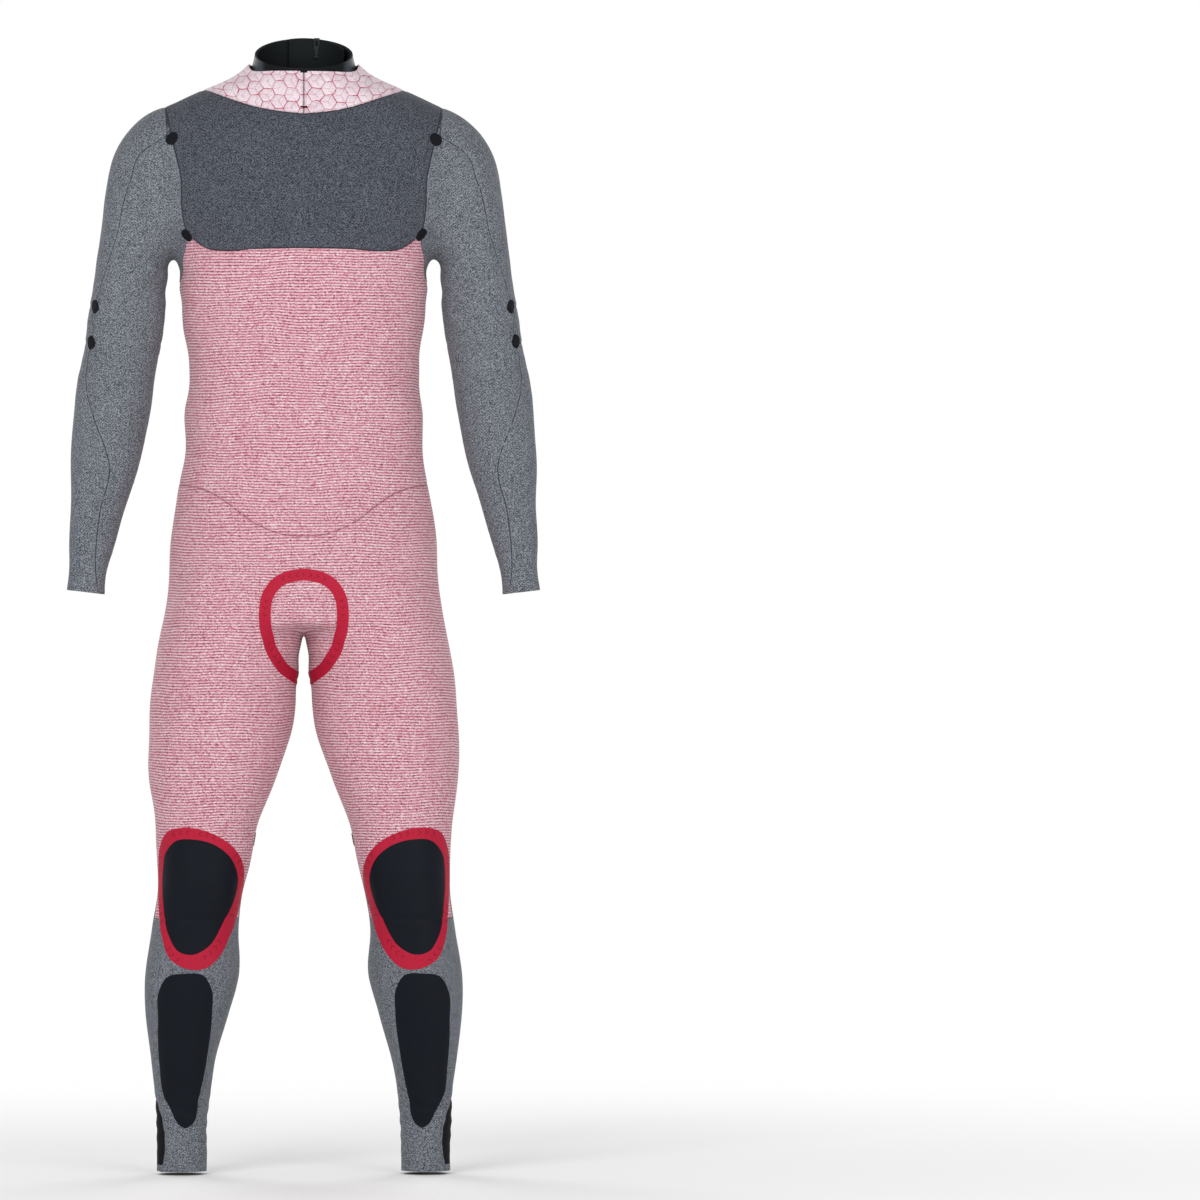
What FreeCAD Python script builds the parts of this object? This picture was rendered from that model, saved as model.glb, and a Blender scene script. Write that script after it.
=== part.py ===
import FreeCAD, Part
import Sketcher
import math
import os

from FreeCAD import Placement, Rotation, Vector

# A full-length wetsuit turned inside out, so that its lining faces outwards, standing in the shape
# of the body it is cut for. Its front faces -Y, its wearer's left is +X, and the hems of its two
# ankle cuffs rest on the plane Z = 0. Every panel is a shell of foam rubber cut from a lofted body
# tube (torso, sleeve or leg) by an outline drawn in the front view, so that neighbours meet edge to
# edge along one seam. Each sleeve and leg is split at the shoulder, elbow, hip and knee, so that
# the limb can bend there.

doc = FreeCAD.newDocument("Wetsuit")
sheet = doc.addObject("Spreadsheet::Sheet", "Measures")
SHEET_NAME = "Measures"
NEXT_ROW = [1]


def store(alias, value, note=""):
    """Puts one driving dimension into the sheet under its alias."""
    row = NEXT_ROW[0]
    sheet.set(f"A{row}", str(value))
    sheet.setAlias(f"A{row}", alias)
    sheet.set(f"B{row}", "'" + note)
    NEXT_ROW[0] = row + 1


# ---------------------------------------------------------------- driving dimensions
for alias, value, note in [
    ("wall", 3.5, "thickness of the lined foam rubber"),
    ("body_gap", 0.8, "gap between panels on two moving bodies"),
    ("overlay_gap", 0.4, "air under a tape or pad laid on the lining"),
    ("tape_thick", 0.8, "thickness of the seam tape"),
    ("pad_thick", 1.8, "thickness of the knee and shin pads"),
    ("tape_wide", 16, "width of the broad seam tapes"),
    ("side_tape_wide", 12, "width of the two tapes beside the back panel"),
    ("ridge_shift", 8, "Y of the seam that runs along the shoulder ridge"),
    ("side_shift", 5, "Y of the side seams of the hips"),
    ("underarm_tall", 1172, "height of the lowest point of the armhole"),
    ("underarm_reach", 160, "X of the armhole at its lowest point"),
    ("acromion_tall", 1352, "height of the armhole at the shoulder"),
    ("acromion_reach", 176, "X of the armhole at the shoulder"),
    ("collar_base_tall", 1390, "lower edge of the collar, inside the yoke"),
    ("collar_back_tall", 1446, "upper edge of the collar at the nape"),
    ("collar_front_tall", 1400, "upper edge of the collar at the throat"),
    ("collar_half_wide", 63, "half width of the collar outside"),
    ("collar_half_deep", 57, "half depth of the collar outside"),
    ("collar_shift", 8.5, "Y of the collar's centre"),
    ("collar_wall", 3, "thickness of the smooth collar rubber"),
    ("collar_slot", 23, "width of the collar's slot at the nape"),
    ("wrist_radius", 24, "outer radius of the wrist cuff"),
    ("wrist_cuff_long", 26, "length of the wrist cuff"),
    ("ankle_radius", 31.5, "outer radius of the ankle cuff"),
    ("ankle_cuff_long", 28, "length of the ankle cuff"),
    ("cuff_wall", 3, "thickness of the cuffs"),
    ("dot_radius", 9, "radius of a seam reinforcement dot"),
    ("dot_thick", 0.9, "thickness of a seam reinforcement dot"),
    ("zip_top_tall", 1420, "height of the closed slider's centre"),
    ("zip_top_shift", 66.5, "Y of the zip at its top"),
    ("zip_top_reach", 16, "X of the zip at its top"),
    ("zip_lean", 9.8, "degrees by which the zip's top leans forwards"),
    ("zip_tilt", 2, "degrees by which the zip leans to the wearer's left"),
    ("zip_bend_radius", 1771, "radius of the arc that the zip follows down the back"),
    ("zip_sweep", 14.95, "degrees of that arc"),
    ("zip_tape_wide", 15, "width of one zip tape"),
    ("zip_tape_thick", 1, "thickness of a zip tape"),
    ("coil_pitch", 5, "distance between two teeth of one coil"),
    ("coil_tooth_tall", 1.8, "height of one tooth along the zip"),
    ("coil_thick", 1.6, "thickness of the coils"),
    ("slider_wide", 12, "width of the zip slider"),
    ("slider_long", 14, "length of the zip slider"),
    ("puller_long", 15, "length of the puller"),
    ("puller_wide", 7, "width of the puller"),
    ("puller_thick", 1.6, "thickness of the puller"),
    ("bridge_radius", 1, "radius of the slider's bridge pin"),
    ("bridge_drop", 8.2, "distance from the tapes to the bridge pin"),
    ("hanger_tall", 1400, "height of the hanger mount above the ankle hems"),
]:
    store(alias, value, note)

# Body stations of the torso: height, half width, half depth and shift of the centre along Y.
# Above the underarm the half width runs past the armhole, which cuts the torso off.
TORSO = [
    ("crotch", 690, 180, 112, 8),
    ("seat", 745, 172, 117, 10),
    ("hip", 800, 169, 112, 9),
    ("highhip", 865, 159, 102, 6),
    ("belt", 910, 151, 97, 3),
    ("belly", 960, 151, 97, 1),
    ("waist", 1015, 145, 97, 0),
    ("rib", 1075, 153, 102, -2),
    ("breast", 1130, 162, 107, -5),
    ("underarm", 1172, 164, 110, -8),
    ("armhole", 1200, 181, 111, -9),
    ("chest", 1262, 207, 106, -9),
    ("shoulder", 1322, 197, 97, -5),
    ("acromion", 1350, 176, 88, 0),
    ("slope", 1372, 131, 79, 3),
    ("nape", 1392, 98, 73, 8),
    ("neck", 1408, 76, 66, 12),
]
# Stations of the left sleeve: X and Z of its inner edge, X and Z of its outer edge, half depth, Y.
SLEEVE = [
    ("armhole", 160, 1172, 176, 1352, 66, -4),
    ("head", 164, 1169, 216, 1329, 64, -4),
    ("deltoid", 167, 1164, 239, 1293, 60, -4),
    ("deltoidfoot", 169, 1158, 252, 1240, 57, -4),
    ("biceps", 170, 1150, 258, 1185, 54, -4),
    ("upperarm", 170, 1130, 265, 1136, 52, -4),
    ("aboveelbow", 172, 1095, 271, 1097, 50, -2),
    ("elbow", 181, 1048, 278, 1048, 47, 2),
    ("belowelbow", 188, 1010, 286, 1010, 47, 0),
    ("forearm", 195, 960, 292, 960, 46, -4),
    ("midforearm", 208, 900, 295, 901, 41, -8),
    ("lowforearm", 226, 840, 295, 843, 35, -11),
    ("abovewrist", 241, 790, 297, 795, 28, -13),
    ("wrist", 249.5, 758, 297.2, 763.6, 24, -14),
]
# Stations of the left leg: X and Z of its inner edge, X and Z of its outer edge, half depth, Y.
LEG = [
    ("fork", 4, 689, 181, 689, 106, 6),
    ("upperthigh", 8, 622, 192, 622, 98, 4),
    ("midthigh", 15, 560, 196, 560, 90, 0),
    ("lowthigh", 35, 500, 196, 500, 80, -3),
    ("aboveknee", 58, 440, 188.5, 440, 70, -6),
    ("kneetop", 66, 400, 186.5, 400, 65, -8),
    ("knee", 78, 350, 186, 350, 61, -8),
    ("belowknee", 83.5, 310, 192, 310, 59, -4),
    ("calf", 82, 250, 201, 250, 62, 4),
    ("lowcalf", 95, 200, 201, 200, 57, 7),
    ("shin", 112, 140, 193.5, 140, 46, 6),
    ("aboveankle", 120, 92, 189, 92, 38, 4),
    ("ankle", 123.5, 50, 187.1, 50, 33, 3),
    ("hem", 123.5, 28, 186.5, 28, 31.5, 3),
]
TORSO_WORDS = ("tall", "wide", "deep", "shift")
LIMB_WORDS = ("innerx", "innerz", "outerx", "outerz", "deep", "shift")
for limb, stations, words in (
    ("torso", TORSO, TORSO_WORDS),
    ("sleeve", SLEEVE, LIMB_WORDS),
    ("leg", LEG, LIMB_WORDS),
):
    for station in stations:
        for word, value in zip(words, station[1:]):
            store(f"{limb}_{station[0]}_{word}", value, f"{limb} at the {station[0]}")
doc.recompute()


def size(alias):
    """Reads a driving dimension back from the sheet."""
    return float(sheet.get(alias))


WALL = size("wall")
FAR = 400.0  # half length of a cutter that passes right through the suit
SECTION_POINTS = 24
ROUNDNESS = 2.2  # exponent of the body's cross sections: 2 is an ellipse


# ---------------------------------------------------------------- body tubes
def section(inner, outer, deep, shift, inset):
    """A closed curve round one body station, inset from the outside of the suit."""
    middle = (inner + outer) * 0.5
    across = outer - inner
    half = across.Length / 2 - inset
    across.normalize()
    points = []
    for i in range(SECTION_POINTS):
        angle = 2 * math.pi * i / SECTION_POINTS
        c, s = math.cos(angle), math.sin(angle)
        u = math.copysign(abs(c) ** (2 / ROUNDNESS), c) * half
        v = math.copysign(abs(s) ** (2 / ROUNDNESS), s) * (deep - inset)
        points.append(middle + across * u + Vector(0, v + shift, 0))
    curve = Part.BSplineCurve()
    even = [i / SECTION_POINTS for i in range(SECTION_POINTS + 1)]
    curve.interpolate(points, PeriodicFlag=True, Parameters=even)
    return curve


def skin(curves):
    """A solid through a run of closed curves that share one set of knots."""
    rows = [curve.getPoles() for curve in curves]
    places = [0.0]
    for row, following in zip(rows, rows[1:]):
        gaps = [a.distanceToPoint(b) for a, b in zip(row, following)]
        places.append(places[-1] + sum(gaps) / len(gaps))
    lines = []
    for column in zip(*rows):
        line = Part.BSplineCurve()
        line.interpolate(list(column), Parameters=places)
        lines.append(line)
    around, along = curves[0], lines[0]
    surface = Part.BSplineSurface()
    surface.buildFromPolesMultsKnots(
        [line.getPoles() for line in lines],
        around.getMultiplicities(), along.getMultiplicities(),
        around.getKnots(), along.getKnots(), True, False, around.Degree, along.Degree,
    )
    side = surface.toShape()
    ends = surface.vIso(places[0]), surface.vIso(places[-1])
    caps = [Part.Face(Part.Wire([end.toShape()])) for end in ends]
    shell = Part.makeShell([side] + caps)
    shell.sewShape()
    solid = Part.makeSolid(shell)
    return solid if solid.Volume > 0 else Part.makeSolid(shell.reversed())


def torso_tube(inset):
    curves = []
    for name, *_ in TORSO:
        tall, wide, deep, shift = (size(f"torso_{name}_{w}") for w in TORSO_WORDS)
        ends = Vector(-wide, 0, tall), Vector(wide, 0, tall)
        curves.append(section(*ends, deep, shift, inset))
    return skin(curves)


def limb_tube(limb, stations, inset):
    curves = []
    for name, *_ in stations:
        xi, zi, xo, zo, deep, shift = (size(f"{limb}_{name}_{w}") for w in LIMB_WORDS)
        curves.append(section(Vector(xi, 0, zi), Vector(xo, 0, zo), deep, shift, inset))
    return skin(curves)


# ---------------------------------------------------------------- cutters
def outline(*edges):
    """A closed wire in the front view. Each edge is a list of (x, z): two points make a line, and
    more make a smooth curve. The last point of an edge is the first of the next."""
    made = []
    for edge in edges:
        points = [Vector(x, -FAR, z) for x, z in edge]
        if len(points) == 2:
            made.append(Part.LineSegment(*points).toShape())
        else:
            curve = Part.BSplineCurve()
            curve.interpolate(points)
            made.append(curve.toShape())
    return Part.Wire(made)


def cutter(wire, low=-FAR, high=FAR):
    """The prism over a front-view outline, from Y = low to Y = high."""
    prism = Part.Face(wire).extrude(Vector(0, high - low, 0))
    prism.translate(Vector(0, low + FAR, 0))
    return prism


def block(x0, x1, y0, y1, z0, z1):
    return Part.makeBox(x1 - x0, y1 - y0, z1 - z0, Vector(x0, y0, z0))


def mirrored(shape):
    """The same shape on the wearer's right."""
    return shape.mirror(Vector(0, 0, 0), Vector(1, 0, 0))


def tidy(shape):
    """The solids of a cut without its crumbs, as one solid or a compound of separate ones."""
    solids = [s for s in shape.Solids if s.Volume > 150]
    return solids[0] if len(solids) == 1 else Part.makeCompound(solids)


def sub_part(label, shape):
    """Adds a free-form panel to the document."""
    feature = doc.addObject("Part::Feature", label)
    feature.Label = label
    feature.Shape = tidy(shape)
    return feature


def pair(name, shape):
    """Adds a left panel and its mirror image."""
    sub_part(f"left_{name}", shape)
    sub_part(f"right_{name}", mirrored(shape))


# ---------------------------------------------------------------- torso
RIDGE = size("ridge_shift")
SIDE = size("side_shift")
OVER = size("overlay_gap")
TAPE = size("tape_thick")

ARM_LOW = Vector(size("underarm_reach"), 0, size("underarm_tall"))
ARM_HIGH = Vector(size("acromion_reach"), 0, size("acromion_tall"))


def beyond_armhole(gap=0.0):
    """Everything outside the left armhole's plane, moved out by a gap."""
    lean = math.degrees(math.atan2(ARM_HIGH.x - ARM_LOW.x, ARM_HIGH.z - ARM_LOW.z))
    box = Part.makeBox(FAR, 2 * FAR, 3 * FAR, Vector(gap, -FAR, -FAR))
    box.rotate(Vector(0, 0, 0), Vector(0, 1, 0), lean)
    box.translate(ARM_LOW)
    return box.common(block(0, FAR, -FAR, FAR, ARM_LOW.z - 6, 2000))


ARM_SIDE = beyond_armhole()
torso_outside = torso_tube(0)
torso_shell = torso_outside.cut(torso_tube(WALL)).cut(ARM_SIDE).cut(mirrored(ARM_SIDE))
tape_layer = torso_tube(-OVER - TAPE).cut(torso_tube(-OVER)).cut(ARM_SIDE).cut(mirrored(ARM_SIDE))

# Seams of the left half, seen from the front: (x, z) from the middle outwards.
YOKE_SEAM = [(0, 1337), (30, 1340), (65, 1348), (100, 1360), (134, 1378)]
CHEST_SIDE = [(182, 1350), (168, 1310), (155, 1250), (153, 1213), (148, 1188)]
CHEST_FOOT = [(148, 1188), (139, 1178), (124, 1169), (90, 1165), (45, 1166), (0, 1167)]
GUSSET_FRONT = [(148, 1188), (153, 1160), (158, 1130), (166, 1104)]
ABDOMEN_SEAM = [(0, 806), (43, 813), (67, 825), (89, 842), (112, 857), (135, 867), (190, 874)]
BACK_SIDE = [(165, 1256), (141, 1236), (132, 1178), (124, 1113), (120, 1061), (125, 984),
             (130, 932), (150, 866)]
LUMBAR_SEAM = [(0, 936), (35, 932), (71, 914), (108, 892), (150, 866)]
BLADE_SIDE = [(120, 1345), (121, 1306), (133, 1276), (165, 1256)]
CROTCH_LOOP = [(0, 755), (32, 745), (46, 715), (44, 680)]


def both(half):
    """A seam of the left half continued over the right half."""
    return [(-x, z) for x, z in reversed(half[1:])] + half


def below(seam, reach=FAR):
    """Everything below a seam that runs right across the front view."""
    line = both(seam)
    ends = [line[-1], (reach, line[-1][1]), (reach, 0), (-reach, 0), (-reach, line[0][1]), line[0]]
    return outline(line, *[[a, b] for a, b in zip(ends, ends[1:])])


hips_back = cutter(below(LUMBAR_SEAM), SIDE, FAR)
back_left = cutter(
    outline([(0, 1420), (120, 1420)], [(120, 1420), (120, 1345)], BLADE_SIDE, BACK_SIDE,
            [(150, 866), (150, 800)], [(150, 800), (0, 800)], [(0, 800), (0, 1420)]),
    RIDGE, FAR,
)
back_cutter = back_left.fuse(mirrored(back_left)).removeSplitter().cut(hips_back)
yoke_left = cutter(
    outline(YOKE_SEAM, [(134, 1378), (134, 1420)], [(134, 1420), (0, 1420)], [(0, 1420), (0, 1337)]),
    -FAR, RIDGE,
)
chest_front = cutter(
    outline([(0, 1420), (182, 1420)], [(182, 1420), (182, 1350)], CHEST_SIDE, CHEST_FOOT,
            [(0, 1167), (0, 1420)]),
    -FAR, RIDGE,
)
shoulder_top = cutter(
    outline([(120, 1345), (185, 1334)], [(185, 1334), (185, 1420)], [(185, 1420), (120, 1420)],
            [(120, 1420), (120, 1345)]),
    RIDGE, FAR,
)
blade_patch = cutter(
    outline(BLADE_SIDE, [(165, 1256), (190, 1256)], [(190, 1256), (190, 1334)],
            [(190, 1334), (185, 1334)], [(185, 1334), (120, 1345)]),
    RIDGE, FAR,
)
gusset_front = cutter(
    outline([(182, 1350)] + CHEST_SIDE[1:], GUSSET_FRONT, [(166, 1104), (220, 1104)],
            [(220, 1104), (220, 1350)], [(220, 1350), (182, 1350)]),
    -FAR, RIDGE,
)
gusset_back = cutter(
    outline([(90, 1113), (220, 1104)], [(220, 1104), (220, 1256)], [(220, 1256), (90, 1256)],
            [(90, 1256), (90, 1113)]),
    RIDGE, FAR,
).cut(back_cutter)
hips_front = cutter(below(ABDOMEN_SEAM), -FAR, SIDE)
crotch_half = outline(CROTCH_LOOP, [(44, 680), (0, 680)], [(0, 680), (0, 755)])
crotch_cutter = cutter(crotch_half, -FAR, 0)
crotch_cutter = crotch_cutter.fuse(mirrored(crotch_cutter))

sub_part("back_panel", torso_shell.common(back_cutter))
pair("neck_yoke", torso_shell.common(yoke_left))
chest = chest_front.cut(yoke_left).fuse(shoulder_top)
chest = chest.fuse(mirrored(chest))
sub_part("chest_panel", torso_shell.common(chest))
blade_shape = torso_shell.common(blade_patch)
sub_part("shoulder_blade_patches", Part.makeCompound([blade_shape, mirrored(blade_shape)]))
gusset = gusset_front.fuse(gusset_back)
gusset_shape = torso_shell.common(gusset)
pair("underarm_gusset", gusset_shape)
hip_shape = torso_shell.common(hips_front)
sub_part("hip_panel", hip_shape.cut(crotch_cutter))
sub_part("seat_panel", torso_shell.common(hips_back))
front = torso_shell
for taken in (back_cutter, chest, blade_patch, mirrored(blade_patch), gusset, mirrored(gusset),
              hips_front, hips_back, yoke_left, mirrored(yoke_left)):
    front = front.cut(taken)
sub_part("front_torso_panel", front)


def saddle():
    """The floor of the crotch gusset, which spans the gap between the two thighs."""
    xi, _, xo, _, deep, shift = (size(f"leg_fork_{w}") for w in LIMB_WORDS)
    middle, half = (xi + xo) / 2, (xo - xi) / 2
    reach = deep - 16
    edge = []
    for i in range(9):
        y = -reach + 2 * reach * i / 8
        share = (1 - (abs(y) / deep) ** ROUNDNESS) ** (1 / ROUNDNESS)
        edge.append(Vector(middle - half * share + WALL, y + shift, 691))
    curve = Part.BSplineCurve()
    curve.interpolate(edge)
    other = Part.BSplineCurve()
    other.interpolate([Vector(-p.x, p.y, p.z) for p in reversed(edge)])
    mirror = [Vector(-p.x, p.y, p.z) for p in edge]
    lines = Part.LineSegment(edge[-1], mirror[-1]), Part.LineSegment(mirror[0], edge[0])
    wire = Part.Wire([curve.toShape(), lines[0].toShape(), other.toShape(), lines[1].toShape()])
    return Part.Face(wire).extrude(Vector(0, 0, WALL))


floor = saddle().common(torso_tube(WALL + 0.2))
sub_part("crotch_gusset", Part.makeCompound([hip_shape.common(crotch_cutter), floor]))


# ---------------------------------------------------------------- tapes on the torso
def ribbon(line, wide):
    """The front-view outline of a tape of even width along a line of points."""
    curve = Part.BSplineCurve()
    curve.interpolate([Vector(x, -FAR, z) for x, z in line])
    sides = ([], [])
    steps = 3 * len(line)
    for i in range(steps + 1):
        u = curve.FirstParameter + (curve.LastParameter - curve.FirstParameter) * i / steps
        point = curve.value(u)
        run = curve.tangent(u)[0]
        away = Vector(-run.z, 0, run.x) * (wide / 2)
        sides[0].append(((point + away).x, (point + away).z))
        sides[1].append(((point - away).x, (point - away).z))
    near, far = sides
    far.reverse()
    return outline(near, [near[-1], far[0]], far, [far[-1], near[0]])


lumbar_ribbon = cutter(ribbon(both(LUMBAR_SEAM[:-1] + [(140, 872)]), size("tape_wide")), RIDGE, FAR)
side_ribbon = cutter(ribbon([(164, 1257)] + BACK_SIDE[1:], size("side_tape_wide")), RIDGE, FAR)
side_tape = tape_layer.common(side_ribbon)
sub_part("back_seam_tapes", Part.makeCompound([side_tape, mirrored(side_tape)]))
lumbar_tape = tape_layer.common(lumbar_ribbon).cut(side_ribbon).cut(mirrored(side_ribbon))
sub_part("lumbar_seam_tape", lumbar_tape)
crotch_line = both(CROTCH_LOOP[:-1] + [(47, 692)])
crotch_ribbon = cutter(ribbon(crotch_line, size("tape_wide")), -FAR, 0)
sub_part("crotch_seam_tape", tape_layer.common(crotch_ribbon))


def plain(kind, label, **bound):
    """A Part primitive whose sizes are bound to the sheet."""
    made = doc.addObject(kind, label)
    for name, alias in bound.items():
        made.setExpression(name, f"{SHEET_NAME}.{alias}")
    return made


def skin_point(solid, x, z, side):
    """The point on a body tube at x, z on its front (side -1) or back (side 1), and its normal."""
    line = Part.makeLine(Vector(x, 0, z), Vector(x, side * FAR, z))
    point = max((v.Point for v in solid.common(line).Vertexes), key=lambda p: side * p.y)
    step = 2.0
    nearby = []
    for dx, dz in ((step, 0), (-step, 0), (0, step), (0, -step)):
        probe = Part.makeLine(Vector(x + dx, 0, z + dz), Vector(x + dx, side * FAR, z + dz))
        hits = [v.Point for v in solid.common(probe).Vertexes]
        nearby.append(max(hits, key=lambda p: side * p.y))
    normal = (nearby[0] - nearby[1]).cross(nearby[2] - nearby[3])
    normal.normalize()
    return point, normal if normal.y * side > 0 else normal * -1


def dots(label, places, solid):
    """Round reinforcement dots pressed over the ends of the seams, as one group."""
    discs = []
    for x, z, side in places:
        point, normal = skin_point(solid, x, z, side)
        disc = plain("Part::Cylinder", f"{label}_disc", Radius="dot_radius", Height="dot_thick")
        disc.Placement = Placement(point + normal * OVER, Rotation(Vector(0, 0, 1), normal))
        discs.append(disc)
    group = doc.addObject("Part::Compound", label)
    group.Links = discs
    group.Label = label


DOTS = [(160, 1306, -1), (140, 1196, -1), (151, 1326, 1)]
dots("seam_dots", [(s * x, z, side) for x, z, side in DOTS for s in (1, -1)], torso_outside)


# ---------------------------------------------------------------- collar
def collar_tube(inset, foot):
    """The collar before its slot and its sloping upper edge are cut."""
    wide, deep = size("collar_half_wide"), size("collar_half_deep")
    shift = Vector(0, size("collar_shift"), 0)
    wires = []
    for tall, lean in ((foot, 0), (size("collar_back_tall") + 10, 3)):
        ring = Part.Ellipse(Vector(0, 0, tall) + shift, wide - inset - lean, deep - inset - lean)
        wires.append(Part.Wire([ring.toShape()]))
    return Part.makeLoft(wires, True, True)


def above_rim(drop=0.0):
    """Everything above the collar's upper edge, which falls from the nape to the throat."""
    back = size("collar_shift") + size("collar_half_deep")
    front = size("collar_shift") - size("collar_half_deep")
    high, low = size("collar_back_tall") - drop, size("collar_front_tall") - drop
    corners = [(back, high), (front, low), (-FAR, low), (-FAR, 1600), (FAR, 1600), (FAR, high)]
    points = [Vector(-FAR, y, z) for y, z in corners]
    return Part.Face(Part.makePolygon(points + points[:1])).extrude(Vector(2 * FAR, 0, 0))


COLLAR_FOOT = size("collar_base_tall")
collar_ring = collar_tube(0, COLLAR_FOOT).cut(collar_tube(size("collar_wall"), COLLAR_FOOT - 1))
slot_left = size("zip_top_reach") + size("collar_slot") / 2
slot_right = slot_left - size("collar_slot")
slot = block(slot_right, 52, size("collar_shift") + 8, FAR, 0, 1600)
sub_part("collar", collar_ring.cut(above_rim()).cut(slot))
tab_reach = block(slot_left, 52, size("collar_shift") + 8, FAR, 0, 1600)
sub_part("collar_closure_tab", collar_ring.cut(above_rim(4)).common(tab_reach))

# ---------------------------------------------------------------- sleeves
GAP = size("body_gap")
sleeve_outside = limb_tube("sleeve", SLEEVE, 0)
sleeve_shell = sleeve_outside.cut(limb_tube("sleeve", SLEEVE, WALL))


def below_line(low, high, drop):
    """Everything beyond a plane through two points (x, z) of the left sleeve, moved down it."""
    a, b = Vector(low[0], 0, low[1]), Vector(high[0], 0, high[1])
    lean = math.degrees(math.atan2(b.z - a.z, b.x - a.x))
    box = Part.makeBox(2 * FAR, 2 * FAR, 3 * FAR, Vector(-FAR, -FAR, -3 * FAR - drop))
    box.rotate(Vector(0, 0, 0), Vector(0, 1, 0), -lean)
    box.translate(a)
    return box


def band(shell, start, end, gap_above, gap_below):
    """The stretch of a limb between two planes, each given by two points (x, z)."""
    return shell.common(below_line(*start, gap_above)).cut(below_line(*end, -gap_below))


ARM_CUT = (169, 1158), (252, 1240)
ELBOW_TOP = (0, 1100), (300, 1100)
ELBOW_FOOT = (0, 1004), (300, 1004)
SLEEVE_END = (249.5, 758), (297.2, 763.6)

shoulder = sleeve_shell.common(beyond_armhole(GAP)).cut(below_line(*ARM_CUT, -GAP / 2))
pair("shoulder_panel", shoulder)
upper = band(sleeve_shell, ARM_CUT, ELBOW_TOP, GAP / 2, GAP / 2)
elbow = band(sleeve_shell, ELBOW_TOP, ELBOW_FOOT, GAP / 2, GAP / 2)
forearm = band(sleeve_shell, ELBOW_FOOT, SLEEVE_END, GAP / 2, 0)

# The seam down the front of the upper sleeve, and the seam down the front of the forearm.
UPPER_SEAM = [(205, 1260), (232, 1210), (243, 1150), (248, 1090)]
FOREARM_SEAM = [(272, 1020), (274, 988), (265, 953), (251, 917), (245, 892), (248, 870), (255, 847),
                (262, 806), (262, 740)]
outer_of_upper = cutter(
    outline(UPPER_SEAM, [(248, 1090), (400, 1090)], [(400, 1090), (400, 1260)],
            [(400, 1260), (205, 1260)])
)
outer_of_forearm = cutter(
    outline(FOREARM_SEAM, [(262, 740), (400, 740)], [(400, 740), (400, 1020)],
            [(400, 1020), (272, 1020)])
)
patch_outline = [(200, 1100), (196, 1060), (198, 1039)]
elbow_cutter = cutter(
    outline(patch_outline, [(198, 1039), (400, 1039)], [(400, 1039), (400, 1110)],
            [(400, 1110), (200, 1110)], [(200, 1110), (200, 1100)]),
    2, FAR,
)
pair("upper_sleeve_outer_panel", upper.common(outer_of_upper))
pair("upper_sleeve_inner_panel", upper.cut(outer_of_upper))
pair("elbow_patch", elbow.common(elbow_cutter))
pair("elbow_bend_panel", elbow.cut(elbow_cutter))
pair("forearm_outer_panel", forearm.common(outer_of_forearm))
pair("forearm_inner_panel", forearm.cut(outer_of_forearm))

# ---------------------------------------------------------------- legs
leg_outside = limb_tube("leg", LEG, 0)
leg_shell = leg_outside.cut(limb_tube("leg", LEG, WALL))
leg_tape_layer = limb_tube("leg", LEG, -OVER - TAPE).cut(limb_tube("leg", LEG, -OVER))
PAD = size("pad_thick")
leg_pad_layer = limb_tube("leg", LEG, -OVER - PAD).cut(limb_tube("leg", LEG, -OVER))


def level(tall):
    return (0, tall), (300, tall)


HIP_FOOT, KNEE_TOP, KNEE_FOOT, LEG_END = 592, 442, 258, 28
hip_bend = band(leg_shell, level(689), level(HIP_FOOT), 0, GAP / 2)
thigh = band(leg_shell, level(HIP_FOOT), level(KNEE_TOP), GAP / 2, GAP / 2)
knee = band(leg_shell, level(KNEE_TOP), level(KNEE_FOOT), GAP / 2, GAP / 2)
calf = band(leg_shell, level(KNEE_FOOT), level(LEG_END), GAP / 2, 0)

# Outlines on the left leg, seen from the front.
KNEE_PAD = [(137, 423), (161, 421), (174, 406), (178, 382), (177, 340), (170, 300), (158, 281),
            (141, 277), (122, 286), (101, 320), (88, 348), (83, 373), (91, 398), (110, 415), (137, 423)]
KNEE_RING = [(150, 438), (172, 432), (181, 414), (184, 388), (183, 338), (179, 299), (168, 271),
             (146, 259), (124, 260), (106, 276), (94, 300), (83, 335), (76, 366), (77, 392),
             (90, 414), (108, 427), (128, 435), (150, 438)]
SHIN_PAD = [(127, 251), (150, 253), (172, 249), (182, 232), (184, 190), (182, 135), (178, 100),
            (167, 78), (157, 60), (150, 56), (143, 60), (133, 96), (123, 145), (116, 203),
            (117, 235), (127, 251)]
ANKLE_GUSSET = [(190, 96), (176, 60), (177, 6)]


def loop(points):
    curve = Part.BSplineCurve()
    curve.interpolate([Vector(x, -FAR, z) for x, z in points[:-1]], PeriodicFlag=True)
    return Part.Wire([curve.toShape()])


pad_cutter = cutter(loop(KNEE_PAD), -FAR, 0)
ring_cutter = cutter(loop(KNEE_RING), -FAR, -16).cut(pad_cutter)
gusset_cutter = cutter(
    outline(ANKLE_GUSSET, [(177, 6), (260, 6)], [(260, 6), (260, 96)], [(260, 96), (190, 96)])
)
pair("hip_bend_panel", hip_bend)
pair("thigh_panel", thigh)
pair("knee_bend_panel", knee)
pair("knee_pad", leg_pad_layer.common(pad_cutter))
pair("knee_seam_tape", leg_tape_layer.common(ring_cutter))
pair("calf_panel", calf.cut(gusset_cutter))
pair("shin_pad", leg_pad_layer.common(cutter(loop(SHIN_PAD), -FAR, 0)))
pair("ankle_gusset", calf.common(gusset_cutter))


# ---------------------------------------------------------------- hard pieces made in PartDesign
def new_body(label):
    body = doc.addObject("PartDesign::Body", label)
    body.Label = label
    return body


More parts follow.
